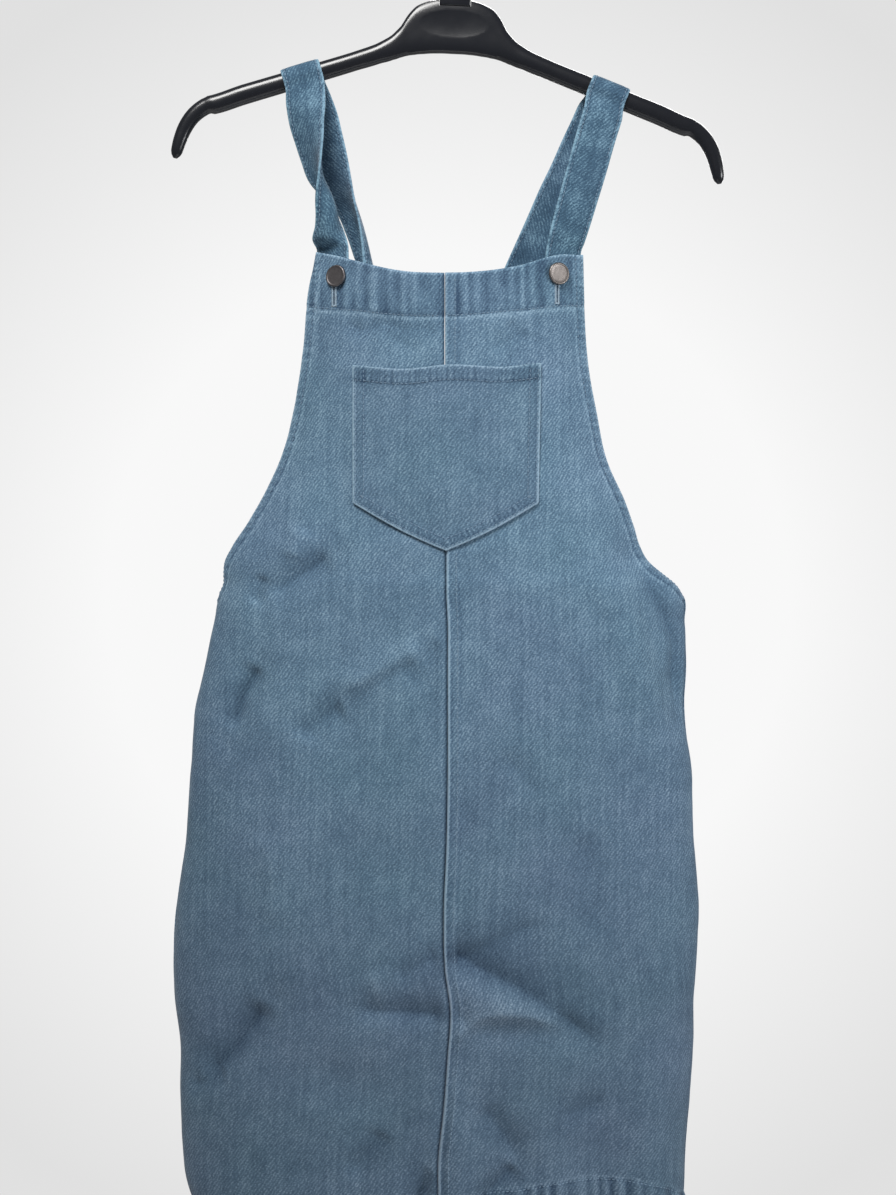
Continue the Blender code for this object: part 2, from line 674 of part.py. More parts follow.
def button(name, place, collection, cutters, finish, front, strap_piece):
    """A tack button: its cap outside the bib, its neck through bib and strap, its tack behind."""
    x, drop = place
    seat = FRONT.over(x, drop, 0.0, False)
    normal = FRONT.normal(x, drop)
    tack_seat = -(TURNED_CLOTH + LAYER_GAP + STRAP_CLOTH + TACK_GAP)
    tack_end = tack_seat - TACK_HEIGHT
    profile = BUTTON_CAP + (
        (BUTTON_NECK_RADIUS, BUTTON_SEAT_HEIGHT),
        (BUTTON_NECK_RADIUS, tack_seat),
        (BUTTON_TACK_RADIUS, tack_seat),
        (BUTTON_TACK_RADIUS, tack_end + TACK_ROUNDING),
        (BUTTON_TACK_RADIUS - TACK_ROUNDING, tack_end),
        (0.0, tack_end),
    )
    shape = bmesh.new()
    points = [shape.verts.new((radius * MM, 0.0, height * MM)) for radius, height in profile]
    for a, b in zip(points, points[1:]):
        shape.edges.new((a, b))
    mesh = bpy.data.meshes.new(name)
    shape.to_mesh(mesh)
    shape.free()
    made = new_object(name, mesh, collection, finish)
    turned = made.modifiers.new("turned", "SCREW")
    turned.steps = BUTTON_STEPS
    turned.render_steps = BUTTON_STEPS
    turned.use_merge_vertices = True
    turned.merge_threshold = 0.00001
    turned.use_normal_calculate = True
    made.rotation_mode = "QUATERNION"
    made.rotation_quaternion = Vector(normal).to_track_quat("Z", "Y")
    made.location = Vector(seat) * MM

    neck_hole = BUTTON_NECK_RADIUS + NECK_CLEARANCE
    reach = normal * HOLE_REACH
    hole_in_bib = cylinder(f"{name}_hole_in_bib", neck_hole, seat + reach, seat - reach, cutters)
    cut(front, hole_in_bib)
    frame = Matrix(np.column_stack([np.cross(normal, [0, 0, 1]), normal, [0, 0, 1]]).tolist()).to_4x4()
    middle = seat - np.array([0, 0, BUTTONHOLE_LENGTH / 2 - 1])
    slit_size = (BUTTONHOLE_WIDTH, BUTTONHOLE_CUT_DEPTH, BUTTONHOLE_LENGTH)
    slit = block(f"{name}_slit", middle, slit_size, cutters, frame)
    cut(front, slit)
    middle_depth = TURNED_CLOTH + LAYER_GAP + STRAP_CLOTH / 2
    hole_in_strap = cylinder(
        f"{name}_hole_in_strap",
        neck_hole,
        seat - normal * (middle_depth - STRAP_CLOTH),
        seat - normal * (middle_depth + STRAP_CLOTH),
        cutters,
    )
    cut(strap_piece, hole_in_strap)
    return made


def hanger(collection, cutters, finish):
    """The moulded bar: sections lofted from one tip through the head to the other."""
    shape = table(HANGER_COLUMNS, HANGER_ROWS)
    stations = [(-1, i) for i in range(len(HANGER_ROWS) - 1, 0, -1)]
    stations += [(1, i) for i in range(len(HANGER_ROWS))]
    round_angles = np.linspace(0, 2 * np.pi, HANGER_SIDES, endpoint=False)
    loft = bmesh.new()
    rings = []
    for side, i in stations:
        power = 2 / shape["square"][i]
        up = np.sign(np.sin(round_angles)) * np.abs(np.sin(round_angles)) ** power * shape["half_height"][i]
        deep = np.sign(np.cos(round_angles)) * np.abs(np.cos(round_angles)) ** power * shape["half_depth"][i]
        lean = side * math.radians(shape["lean"][i])
        ring = []
        for u, d in zip(up, deep):
            x, drop = tilted(side * shape["x"][i] + u * math.sin(lean), shape["drop"][i] - u * math.cos(lean))
            ring.append(loft.verts.new((x * MM, d * MM, -drop * MM)))
        rings.append(ring)
    for ring, following in zip(rings, rings[1:]):
        for a in range(HANGER_SIDES):
            b = (a + 1) % HANGER_SIDES
            loft.faces.new((ring[a], ring[b], following[b], following[a]))
    loft.faces.new(rings[0])
    loft.faces.new(rings[-1])
    bmesh.ops.recalc_face_normals(loft, faces=loft.faces)
    mesh = bpy.data.meshes.new("hanger")
    loft.to_mesh(mesh)
    loft.free()
    made = new_object("hanger", mesh, collection, finish)
    mesh.shade_smooth()
    mesh.set_sharp_from_angle(angle=SHARP_ANGLE)

    swing = Matrix.Rotation(HANGER_TILT, 4, "Y")
    notch_size = (BOSS_WIDTH + 2 * SEAM_GAP, NOTCH_DEPTH, NOTCH_HEIGHT)
    notch_drop = BOSS_BOTTOM_DROP + SEAM_GAP - NOTCH_HEIGHT / 2
    x, drop = tilted(0.0, notch_drop)
    cut(made, block("hook_notch", (x, 0, -drop), notch_size, cutters, swing))
    x, drop = tilted(0.0, OVAL_DROP)
    deep = 10.0
    recess = cylinder("oval_recess", 1.0, (0, -deep / 2, 0), (0, deep / 2, 0), cutters, OVAL_STEPS)
    recess_y = OVAL_RECESS - shape["half_depth"][0] - deep / 2
    place = Matrix.Translation(Vector((x, recess_y, -drop)) * MM)
    recess.data.transform(place @ swing @ Matrix.Diagonal((OVAL_WIDTH / 2, 1.0, OVAL_HEIGHT / 2, 1.0)))
    cut(made, recess)
    return made


def hanger_hook(collection, cutters, finish):
    """The moulded hook: a round rod that rises out of a square boss and bends over the rail."""
    radius = HOOK_INNER_RADIUS + HOOK_ROD_RADIUS
    route = list(HOOK_NECK)
    for angle in np.radians(np.arange(HOOK_START_ANGLE, HOOK_END_ANGLE, HOOK_ANGLE_STEP)):
        route.append((radius * math.cos(angle), HOOK_INNER_RADIUS - radius * math.sin(angle)))
    bend = bpy.data.curves.new("hook_rod", "CURVE")
    bend.dimensions = "3D"
    bend.bevel_depth = HOOK_ROD_RADIUS * MM
    bend.bevel_resolution = 2
    bend.use_fill_caps = True
    line = bend.splines.new("POLY")
    line.points.add(len(route) - 1)
    for point, (x, drop) in zip(line.points, route):
        x, drop = tilted(x, drop)
        point.co = (x * MM, 0.0, -drop * MM, 1.0)
    rod_curve = new_object("hook_rod_curve", bend, cutters)
    graph = bpy.context.evaluated_depsgraph_get()
    mesh = bpy.data.meshes.new_from_object(rod_curve.evaluated_get(graph))
    bpy.data.objects.remove(rod_curve)
    weld = bmesh.new()
    weld.from_mesh(mesh)
    bmesh.ops.remove_doubles(weld, verts=weld.verts, dist=0.00001)
    bmesh.ops.recalc_face_normals(weld, faces=weld.faces)
    weld.to_mesh(mesh)
    weld.free()
    mesh.name = "hanger_hook"
    made = new_object("hanger_hook", mesh, collection, finish)
    boss_height = BOSS_BOTTOM_DROP - BOSS_TOP_DROP
    x, drop = tilted(0.0, BOSS_TOP_DROP + boss_height / 2)
    swing = Matrix.Rotation(HANGER_TILT, 4, "Y")
    boss = block("hook_boss", (x, 0, -drop), (BOSS_WIDTH, BOSS_DEPTH, boss_height), cutters, swing)
    rounding = boss.modifiers.new("rounding", "BEVEL")
    rounding.width = BOSS_ROUNDING * MM
    rounding.segments = 2
    cut(made, boss, "UNION")
    mesh.shade_smooth()
    mesh.set_sharp_from_angle(angle=SHARP_ANGLE)
    return made


def main():
    clear_scene()
    scene = bpy.context.scene
    dress = bpy.data.collections.new("dungaree_dress")
    cutters = bpy.data.collections.new("cutters")
    scene.collection.children.link(dress)
    scene.collection.children.link(cutters)

    denim = material("denim", (0.125, 0.215, 0.305), 0.9)
    button_metal = material("button_metal", (0.12, 0.11, 0.11), 0.38, 1.0)
    hanger_plastic = material("hanger_plastic", (0.012, 0.012, 0.014), 0.25)

    front_left = front_panel("front_left", -1, dress, denim)
    front_right = front_panel("front_right", 1, dress, denim)
    back_panel("back", dress, denim)
    chest_pocket(dress, denim)

    left_rows = bib_stretch(LEFT_STRAP_BIB_ROWS, -1) + free_stretch(LEFT_STRAP_FRONT)
    left_rows += arm_stretch(LEFT_STRAP_ON_ARM) + free_stretch(LEFT_STRAP_BACK)
    left_rows += back_stretch(LEFT_STRAP_AT_BACK, -1)
    strap_left = strap("strap_left", left_rows, dress, denim)

    right_rows = bib_stretch(RIGHT_STRAP_BIB_ROWS, 1) + free_stretch(RIGHT_STRAP_FRONT)
    right_rows += arm_stretch(RIGHT_STRAP_ON_ARM) + free_stretch(RIGHT_STRAP_BACK)
    right_rows += back_stretch(RIGHT_STRAP_AT_BACK, 1)
    strap_right = strap("strap_right", right_rows, dress, denim)

    button("button_left", LEFT_BUTTON, dress, cutters, button_metal, front_left, strap_left)
    button("button_right", RIGHT_BUTTON, dress, cutters, button_metal, front_right, strap_right)

    hanger(dress, cutters, hanger_plastic)
    hanger_hook(dress, cutters, hanger_plastic)


main()
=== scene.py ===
import math

import bmesh
import bpy
import numpy as np
from mathutils import Matrix, Vector


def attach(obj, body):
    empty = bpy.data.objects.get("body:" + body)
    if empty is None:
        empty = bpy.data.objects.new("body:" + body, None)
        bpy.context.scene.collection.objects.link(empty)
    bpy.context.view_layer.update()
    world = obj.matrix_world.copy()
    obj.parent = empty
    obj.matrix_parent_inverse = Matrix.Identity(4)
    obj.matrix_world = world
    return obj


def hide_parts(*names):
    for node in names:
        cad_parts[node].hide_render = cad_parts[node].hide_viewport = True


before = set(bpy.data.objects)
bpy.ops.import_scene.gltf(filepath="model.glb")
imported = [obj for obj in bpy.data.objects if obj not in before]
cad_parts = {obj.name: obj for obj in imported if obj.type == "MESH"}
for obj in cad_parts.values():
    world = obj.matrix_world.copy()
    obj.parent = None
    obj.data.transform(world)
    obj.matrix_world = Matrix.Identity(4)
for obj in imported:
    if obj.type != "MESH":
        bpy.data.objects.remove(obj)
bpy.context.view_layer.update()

# The hanger's hook. It is moulded in black plastic as one piece: a round rod that bends over the
# rail and a square boss that snaps into the hanger's head.
MM = 0.001
HANGER_TILT = math.radians(2.7)
HOOK_INNER_RADIUS = 20.0
HOOK_ROD_RADIUS = 3.6
HOOK_NECK = ((0.0, 58.0), (0.2, 51.0), (2.2, 46.5), (6.0, 43.0))
HOOK_ARC = (-62, 202)
HOOK_SIDES = 20
BOSS_SIZE = (24.0, 12.4, 14.0)
BOSS_MIDDLE_DROP = 60.0
BOSS_ROUNDING = 1.4
PLASTIC_BLACK = (0.006, 0.0072, 0.011)


def swung(x, drop):
    """A point of the level hanger, swung about the hook to where it hangs."""
    return (
        x * math.cos(HANGER_TILT) - drop * math.sin(HANGER_TILT),
        drop * math.cos(HANGER_TILT) + x * math.sin(HANGER_TILT),
    )


def through(at, knots, values):
    """A smooth curve through the values at the knots, read at the places asked for."""
    at = np.clip(np.asarray(at, float), knots[0], knots[-1])
    slopes = np.gradient(values, knots, axis=0)
    i = np.clip(np.searchsorted(knots, at, side="right") - 1, 0, len(knots) - 2)
    width = knots[i + 1] - knots[i]
    t = (at - knots[i]) / width
    spare = (1,) * (np.ndim(values) - 1)
    width = np.reshape(width, np.shape(width) + spare)
    t = np.reshape(t, np.shape(t) + spare)
    start = (2 * t**3 - 3 * t**2 + 1) * values[i] + (t**3 - 2 * t**2 + t) * width * slopes[i]
    end = (3 * t**2 - 2 * t**3) * values[i + 1] + (t**3 - t**2) * width * slopes[i + 1]
    return start + end


def gone_along(path):
    """How far along a line of points each of them lies."""
    return np.concatenate([[0], np.cumsum(np.linalg.norm(np.diff(path, axis=0), axis=1))])


def unit(directions):
    """The directions with a length of one."""
    return directions / np.maximum(np.linalg.norm(directions, axis=-1, keepdims=True), 1e-9)


def evenly(path, spacing):
    """A smooth line through the path's points, with a point about every spacing."""
    path = np.asarray(path, float)
    gone = gone_along(path)
    count = max(3, int(round(gone[-1] / spacing)) + 1)
    places = np.linspace(0, gone[-1], count)
    return np.stack([through(places, gone, path[:, k]) for k in range(path.shape[1])], axis=1)


def grid_quads(ids):
    """The four-sided faces between neighbours of a grid of point numbers."""
    return np.stack([ids[:-1, :-1], ids[:-1, 1:], ids[1:, 1:], ids[1:, :-1]], axis=-1).reshape(-1, 4)


def part(points, quads, slot=0, cloth=None, finish=None):
    """Points in millimetres and faces, with what the materials read at each point."""
    points = np.asarray(points, float).reshape(-1, 3)
    return {
        "points": points,
        "quads": np.asarray(quads, int),
        "slots": np.broadcast_to(np.asarray(slot, int), len(quads)),
        "cloth": np.zeros((len(points), 2)) if cloth is None else np.reshape(cloth, (-1, 2)),
        "finish": np.zeros((len(points), 3)) if finish is None else np.reshape(finish, (-1, 3)),
    }


def placed(name, data):
    """A new object in the scene."""
    made = bpy.data.objects.new(name, data)
    bpy.context.scene.collection.objects.link(made)
    return made


def make_piece(name, parts, finishes):
    """One object from parts: its mesh, its cloth coordinates in metres and, at each point, its wear, painted
    highlight, painted shade and greying.
    """
    first = np.cumsum([0] + [len(p["points"]) for p in parts[:-1]])
    points = np.concatenate([p["points"] for p in parts]) * MM
    quads = np.concatenate([p["quads"] + start for p, start in zip(parts, first)])
    mesh = bpy.data.meshes.new(name)
    mesh.vertices.add(len(points))
    mesh.vertices.foreach_set("co", points.ravel())
    mesh.loops.add(quads.size)
    mesh.loops.foreach_set("vertex_index", quads.ravel().astype(np.int32))
    mesh.polygons.add(len(quads))
    mesh.polygons.foreach_set("loop_start", np.arange(0, quads.size, 4, dtype=np.int32))
    mesh.polygons.foreach_set("material_index", np.concatenate([p["slots"] for p in parts]).astype(np.int32))
    mesh.update(calc_edges=True)
    mesh.validate()
    mesh.polygons.foreach_set("use_smooth", np.ones(len(mesh.polygons), bool))
    cloth = np.concatenate([p["cloth"] for p in parts]) * MM
    layer = mesh.uv_layers.new(name="cloth")
    corners = np.zeros(len(mesh.loops), np.int32)
    mesh.loops.foreach_get("vertex_index", corners)
    layer.data.foreach_set("uv", cloth[corners].ravel())
    finish = np.concatenate([p["finish"] for p in parts])
    # The layer holds wear with painted highlight, painted shade and greying, which the denim reads to lighten
    # and darken its colour.
    wear_and_shade_layer = mesh.attributes.new("finish", "FLOAT_COLOR", "POINT")
    wear_and_shade_layer.data.foreach_set("color", np.column_stack([finish, np.ones(len(finish))]).ravel())
    for look in finishes:
        mesh.materials.append(look)
    return placed(name, mesh)


def outward(piece):
    """Turns every face of a piece to look outwards."""
    work = bmesh.new()
    work.from_mesh(piece.data)
    bmesh.ops.recalc_face_normals(work, faces=work.faces)
    work.to_mesh(piece.data)
    work.free()


def closed_rings(rings):
    """The wall through a row of rings, closed at both ends."""
    count, sides = rings.shape[:2]
    ids = np.arange(count * sides).reshape(count, sides)
    quads = [grid_quads(np.column_stack([ids, ids[:, :1]]))]
    for end in (ids[0], ids[-1]):
        pairs = range(sides // 2 - 1)
        quads.append(np.array([(end[i], end[i + 1], end[-i - 2], end[-i - 1]) for i in pairs]))
    return part(rings, np.concatenate(quads))


def rod(route, radii, sides):
    """A round rod along a level line of x and drop, closed at both ends."""
    ahead = unit(np.gradient(route, axis=0))
    turn = np.linspace(0, 2 * np.pi, sides, endpoint=False)
    across = np.column_stack([-ahead[:, 1], ahead[:, 0]])
    rings = np.zeros((len(route), sides, 3))
    for k, radius in enumerate(radii):
        rings[k, :, 0] = route[k, 0] + across[k, 0] * radius * np.cos(turn)
        rings[k, :, 1] = radius * np.sin(turn)
        rings[k, :, 2] = -(route[k, 1] + across[k, 1] * radius * np.cos(turn))
    return closed_rings(rings)


def box_part(middle, size, rounding):
    """A box with rounded edges, swung with the hanger."""
    work = bmesh.new()
    bmesh.ops.create_cube(work, size=1.0)
    work.transform(Matrix.Diagonal((*size, 1.0)))
    bmesh.ops.bevel(work, geom=work.edges, offset=rounding, segments=3, profile=0.5, affect="EDGES")
    work.transform(Matrix.Translation(Vector(middle)) @ Matrix.Rotation(HANGER_TILT, 4, "Y"))
    points = [tuple(v.co) for v in work.verts]
    quads = []
    for face in work.faces:
        corners = [v.index for v in face.verts]
        quads.append((corners + corners[-1:])[:4] if len(corners) == 3 else corners[:4])
    work.free()
    return part(points, quads)


def node(tree, kind, **settings):
    """A new node with its settings."""
    made = tree.nodes.new(kind)
    for name, value in settings.items():
        setattr(made, name, value)
    return made


def feed(tree, socket, value):
    """Links a socket to another, or sets its value."""
    if isinstance(value, bpy.types.NodeSocket):
        tree.links.new(value, socket)
    elif value is not None:
        socket.default_value = value


def maths(tree, operation, *values, clamp=False):
    """The result of one sum on values or sockets."""
    made = node(tree, "ShaderNodeMath", operation=operation, use_clamp=clamp)
    for socket, value in zip(made.inputs, values):
        feed(tree, socket, value)
    return made.outputs[0]


def noise(tree, place, scale, detail=2.0, stretch=None, roughness=0.5):
    """Fixed unevenness from 0 to 1, with so many bumps a metre, stretched if need be."""
    if stretch is not None:
        stretched = node(tree, "ShaderNodeVectorMath", operation="MULTIPLY")
        feed(tree, stretched.inputs[0], place)
        stretched.inputs[1].default_value = stretch
        place = stretched.outputs[0]
    made = node(tree, "ShaderNodeTexNoise")
    feed(tree, made.inputs["Vector"], place)
    made.inputs["Scale"].default_value = scale
    made.inputs["Detail"].default_value = detail
    made.inputs["Roughness"].default_value = roughness
    return made.outputs["Fac"]


def blend_colours(tree, share, first, second, way="MIX"):
    """A share of the second colour laid over the first."""
    made = node(tree, "ShaderNodeMix", data_type="RGBA", blend_type=way)
    feed(tree, made.inputs["Factor"], share)
    for socket, value in zip((made.inputs[6], made.inputs[7]), (first, second)):
        feed(tree, socket, (*value, 1.0) if isinstance(value, tuple) else value)
    return made.outputs[2]


def new_material(name, **gloss):
    """A new material, its nodes and its surface, with the fixed values of its gloss set."""
    made = bpy.data.materials.new(name)
    made.use_nodes = True
    surface = made.node_tree.nodes["Principled BSDF"]
    for socket, value in gloss.items():
        surface.inputs[socket.replace("_", " ")].default_value = value
    return made, made.node_tree, surface


def bumped(tree, surface, height, strength, distance):
    """Gives a surface the fine relief of a height."""
    bump = node(tree, "ShaderNodeBump")
    bump.inputs["Strength"].default_value = strength
    bump.inputs["Distance"].default_value = distance
    feed(tree, bump.inputs["Height"], height)
    feed(tree, surface.inputs["Normal"], bump.outputs[0])


def moulded_plastic(name, colour):
    """Black moulded plastic: a soft gloss with handling marks, fine dust and a faint ripple."""
    made, tree, surface = new_material(name, Specular_IOR_Level=0.5, Coat_Weight=0.15, Coat_Roughness=0.2)
    place = node(tree, "ShaderNodeTexCoord").outputs["Object"]
    marks = noise(tree, place, 60.0, 4.0, roughness=0.6)
    dust = noise(tree, place, 900.0, 3.0, roughness=0.7)
    specks = maths(tree, "MULTIPLY", maths(tree, "SUBTRACT", dust, 0.62, clamp=True), 0.25)
    grey = tuple(min(1.0, c * 6 + 0.02) for c in colour)
    feed(tree, surface.inputs["Base Color"], blend_colours(tree, specks, colour, grey))
    feed(tree, surface.inputs["Roughness"], maths(tree, "MULTIPLY_ADD", marks, 0.14, 0.17))
    bumped(tree, surface, noise(tree, place, 140.0, 2.0), 0.04, 0.0006)
    return made


hanger_black = moulded_plastic("hanger_plastic", PLASTIC_BLACK)
rod_middle = HOOK_INNER_RADIUS + HOOK_ROD_RADIUS
hook_line = list(HOOK_NECK)
for angle in np.radians(np.arange(HOOK_ARC[0], HOOK_ARC[1] + 1, 6)):
    hook_line.append((rod_middle * math.cos(angle), HOOK_INNER_RADIUS - rod_middle * math.sin(angle)))
hook_line = evenly([swung(*place) for place in hook_line], 1.6)
tip_ahead = unit(hook_line[-1] - hook_line[-2])
tip_steps = np.radians([30, 55, 75, 87])
tip_points = hook_line[-1] + tip_ahead * (HOOK_ROD_RADIUS * np.sin(tip_steps))[:, None]
hook_radii = np.concatenate([np.full(len(hook_line), HOOK_ROD_RADIUS), HOOK_ROD_RADIUS * np.cos(tip_steps)])
boss_x, boss_drop = swung(0.0, BOSS_MIDDLE_DROP)
hanger_hook = make_piece(
    "hanger_hook_moulding",
    [
        rod(np.concatenate([hook_line, tip_points]), hook_radii, HOOK_SIDES),
        box_part((boss_x, 0.0, -boss_drop), BOSS_SIZE, BOSS_ROUNDING),
    ],
    [hanger_black],
)
outward(hanger_hook)
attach(hanger_hook, "root")
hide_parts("hanger_hook")

# The hanger. One moulding of black plastic: a deep flat head with a shallow oval hollow in front,
# and two round arms that slope down to blunt tips. The boss of the hook sits in a notch on top.
HANGER_COLUMNS = ("x", "drop", "half_height", "half_depth", "lean", "square")
HANGER_ROWS = (
    (0.0, 81.9, 20.5, 5.5, 0, 5.0),
    (12.0, 82.1, 20.5, 5.5, 0, 5.0),
    (22.0, 83.8, 19.7, 5.5, 0, 4.6),
    (30.0, 86.4, 18.3, 5.5, 0, 4.2),
    (36.0, 90.5, 15.4, 5.5, 0, 3.6),
    (41.0, 95.7, 11.9, 5.6, 0, 3.0),
    (47.0, 100.3, 9.2, 5.8, 5, 2.7),
    (57.0, 105.2, 7.5, 6.2, 13, 2.4),
    (75.0, 112.0, 7.0, 6.5, 19, 2.3),
    (104.0, 122.3, 7.1, 6.5, 19.5, 2.3),
    (134.0, 132.9, 7.4, 6.5, 19.5, 2.3),
    (160.0, 142.0, 7.5, 6.5, 19, 2.3),
    (185.5, 151.3, 7.3, 6.3, 24, 2.3),
    (187.0, 151.6, 6.3, 5.7, 27, 2.3),
    (192.0, 154.6, 6.2, 5.6, 38, 2.3),
    (198.3, 160.6, 5.9, 5.4, 53, 2.3),
    (203.7, 169.5, 5.6, 5.2, 66, 2.3),
    (207.5, 180.5, 5.1, 4.9, 74, 2.3),
    (209.3, 188.0, 4.5, 4.3, 77, 2.2),
    (210.0, 191.6, 3.2, 3.1, 79, 2.0),
    (210.3, 193.2, 1.6, 1.6, 80, 2.0),
)
HANGER_SIDES = 44
HANGER_SPACING = 2.5
NOTCH_SIZE = (24.6, 40.0, 20.0)
NOTCH_MIDDLE_DROP = 57.3
OVAL_MIDDLE_DROP = 81.0
OVAL_SIZE = (54.0, 22.0)
OVAL_HOLLOW = 0.6
HOLLOW_REACH = 2.6
HEAD_HALF_DEPTH = 5.5


def table(columns, rows):
    """The rows of a table as one array for each named column."""
    return {name: np.array([row[i] for row in rows], float) for i, name in enumerate(columns)}


def rounded_section(half_height, half_depth, square, sides):
    """Points of a rounded section at even steps round it, as its height and its depth."""
    turn = np.linspace(0, 2 * np.pi, 721)
    high = np.sign(np.sin(turn)) * np.abs(np.sin(turn)) ** (2 / square) * half_height
    deep = np.sign(np.cos(turn)) * np.abs(np.cos(turn)) ** (2 / square) * half_depth
    gone = gone_along(np.column_stack([high, deep]))
    places = np.linspace(0, gone[-1], sides, endpoint=False)
    return np.interp(places, gone, high), np.interp(places, gone, deep)


def cut_away(piece, cutter):
    """Takes the cutter's shape out of a piece for good."""
    change = piece.modifiers.new("cut", "BOOLEAN")
    change.operation = "DIFFERENCE"
    change.solver = "EXACT"
    change.object = cutter
    graph = bpy.context.evaluated_depsgraph_get()
    changed = bpy.data.meshes.new_from_object(piece.evaluated_get(graph))
    piece.modifiers.clear()
    piece.data = changed
    bpy.data.objects.remove(cutter)


half_hanger = table(HANGER_COLUMNS, HANGER_ROWS)
hanger_line = np.column_stack([half_hanger["x"], half_hanger["drop"]])
stations_along = evenly(hanger_line, HANGER_SPACING)
row_gone = gone_along(hanger_line)
row_places = np.linspace(0, row_gone[-1], len(stations_along))
shape_at = {name: np.interp(row_places, row_gone, half_hanger[name]) for name in HANGER_COLUMNS[2:]}
hanger_rings = []
for side, order in ((-1, range(len(stations_along) - 1, 0, -1)), (1, range(len(stations_along)))):
    for k in order:
        half_height, half_depth, lean, square = (shape_at[name][k] for name in HANGER_COLUMNS[2:])
        high, deep = rounded_section(half_height, half_depth, square, HANGER_SIDES)
        lean = side * math.radians(lean)
        across, down = stations_along[k]
        x, drop = swung(side * across + high * math.sin(lean), down - high * math.cos(lean))
        hanger_rings.append(np.column_stack([x, deep, -drop]))
hanger = make_piece("hanger_moulding", [closed_rings(np.array(hanger_rings))], [hanger_black])
outward(hanger)
notch_x, notch_drop = swung(0.0, NOTCH_MIDDLE_DROP)
cut_away(hanger, make_piece("notch", [box_part((notch_x, 0.0, -notch_drop), NOTCH_SIZE, 0.6)], []))
oval_x, oval_drop = swung(0.0, OVAL_MIDDLE_DROP)
hollow_mesh = bpy.data.meshes.new("hollow")
hollow_work = bmesh.new()
bmesh.ops.create_uvsphere(hollow_work, u_segments=72, v_segments=36, radius=1.0)
hollow_scale = 1 / math.sqrt(1 - (1 - OVAL_HOLLOW / HOLLOW_REACH) ** 2)
hollow_half = (OVAL_SIZE[0] / 2 * hollow_scale, HOLLOW_REACH, OVAL_SIZE[1] / 2 * hollow_scale)
hollow_work.transform(Matrix.Diagonal((*(h * MM for h in hollow_half), 1.0)))
hollow_middle = Vector((oval_x, -HEAD_HALF_DEPTH - HOLLOW_REACH + OVAL_HOLLOW, -oval_drop)) * MM
hollow_work.transform(Matrix.Translation(hollow_middle) @ Matrix.Rotation(HANGER_TILT, 4, "Y"))
hollow_work.to_mesh(hollow_mesh)
hollow_work.free()
cut_away(hanger, placed("hollow", hollow_mesh))
hanger.data.shade_smooth()
hanger.data.set_sharp_from_angle(angle=math.radians(32))
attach(hanger, "root")
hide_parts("hanger")

# The back of the dress. One panel of washed denim, hidden in front view, with its top edge,
# armholes and hem turned in and stitched. Its sides meet the front's at the side seams.
CLOTH = 1.2
TURNED_CLOTH = 2.2
UNDERARM_DROP = 519.0
FAR_OFF = 1000.0
HEM_TURNING = 18.0
BACK_TOP_TURNING = 26.0
ARMHOLE_TURNING = 7.5
# The side seams from the underarm to the hem, as drop, left and right. Front and back share them.
SIDE_SEAMS = (
    (519, -184, 171), (542, -189, 174), (575, -196, 175), (606, -203, 174), (650, -206, 178),
    (710, -211, 180), (760, -218, 184), (800, -220, 183), (832, -219, 181), (865, -215, 181),
    (905, -214, 178), (945, -213, 175), (970, -210, 174), (1000, -200, 172),
)
SIDE_SEAM_DEPTH = 0.15
# Above the underarm a panel is given row by row. Below it, the middle's x and y are enough.
SHAPE_COLUMNS = ("drop", "left", "seam", "right", "left_y", "seam_y", "right_y", "left_turn", "right_turn")
BACK_ROWS = (
    (368, -80, -25, 29, 10.0, 14, 10.0, 25, 25),
    (400, -84, -24, 34, 9.0, 17, 9.0, 30, 30),
    (430, -97, -21, 48, 7.5, 21, 7.5, 38, 38),
    (448, -109, -19, 62, 6.5, 24, 6.5, 46, 46),
    (468, -127, -16, 88, 5.0, 28, 5.0, 56, 56),
    (483, -143, -14, 112, 3.8, 31, 3.8, 66, 66),
    (495, -159, -12, 133, 2.6, 33, 2.6, 75, 75),
    (504, -171, -11, 150, 1.6, 34, 1.6, 82, 82),
    (512, -180, -10, 163, 0.8, 35, 0.8, 87, 87),
)
BACK_MIDDLES = (
    (-10, 35), (-9, 37), (-9, 39), (-9, 40), (-9, 41), (-10, 42), (-12, 43), (-11, 43),
    (-10, 43), (-10, 43), (-12, 43), (-14, 43), (-15, 43), (-16, 42),
)
BACK_TOP = ((-80, 369), (-25, 373), (29, 369))
BACK_HEM = ((-200, 1001), (-120, 1004), (-15, 1006), (100, 1004), (172, 1000))
BACK_FOLDS = (
    (-60, 470, -140, 540, -3.0, 15),
    (40, 470, 130, 545, -3.0, 15),
    (-40, 700, -110, 790, 3.0, 20),
    (20, 720, 100, 830, -3.0, 20),
    (-130, 830, -60, 900, -3.5, 18),
    (60, 860, 60, 1020, 5.0, 24),
    (-70, 880, -80, 1020, -5.0, 22),
    (120, 900, 124, 1020, -4.0, 18),
    (-150, 890, -146, 1020, 4.0, 18),
)
# Finer creases: the points along each, its height (less than 0 is a trough), how far it reaches on
# the left and on the right of its run, and how round its bottom is.
BACK_CREASES = (
    (((-150, 560), (-120, 540), (-84, 530)), -3.4, 8, 12, 1.5),
    (((128, 566), (96, 548), (62, 540)), -3.2, 12, 8, 1.5),
    (((-30, 640), (-72, 668), (-118, 684)), 3.2, 14, 10, 3.0),
    (((10, 655), (58, 690), (104, 708)), -3.2, 10, 14, 2.0),
    (((-20, 820), (-66, 838), (-104, 872)), -3.4, 10, 10, 1.6),
    (((6, 800), (60, 812), (110, 848)), 3.2, 12, 10, 2.5),
    (((-40, 905), (-52, 950), (-50, 990)), -3.8, 10, 12, 2.0),
    (((20, 900), (28, 950), (20, 995)), 3.8, 12, 10, 2.5),
    (((140, 760), (120, 800), (116, 846)), -2.9, 9, 9, 2.0),
    (((-170, 720), (-140, 760), (-132, 800)), 2.9, 9, 9, 2.0),
)
BACK_SPACING = 2.4
TWILL_PERIOD = 0.00225
TWILL_SLOPE = math.radians(55)
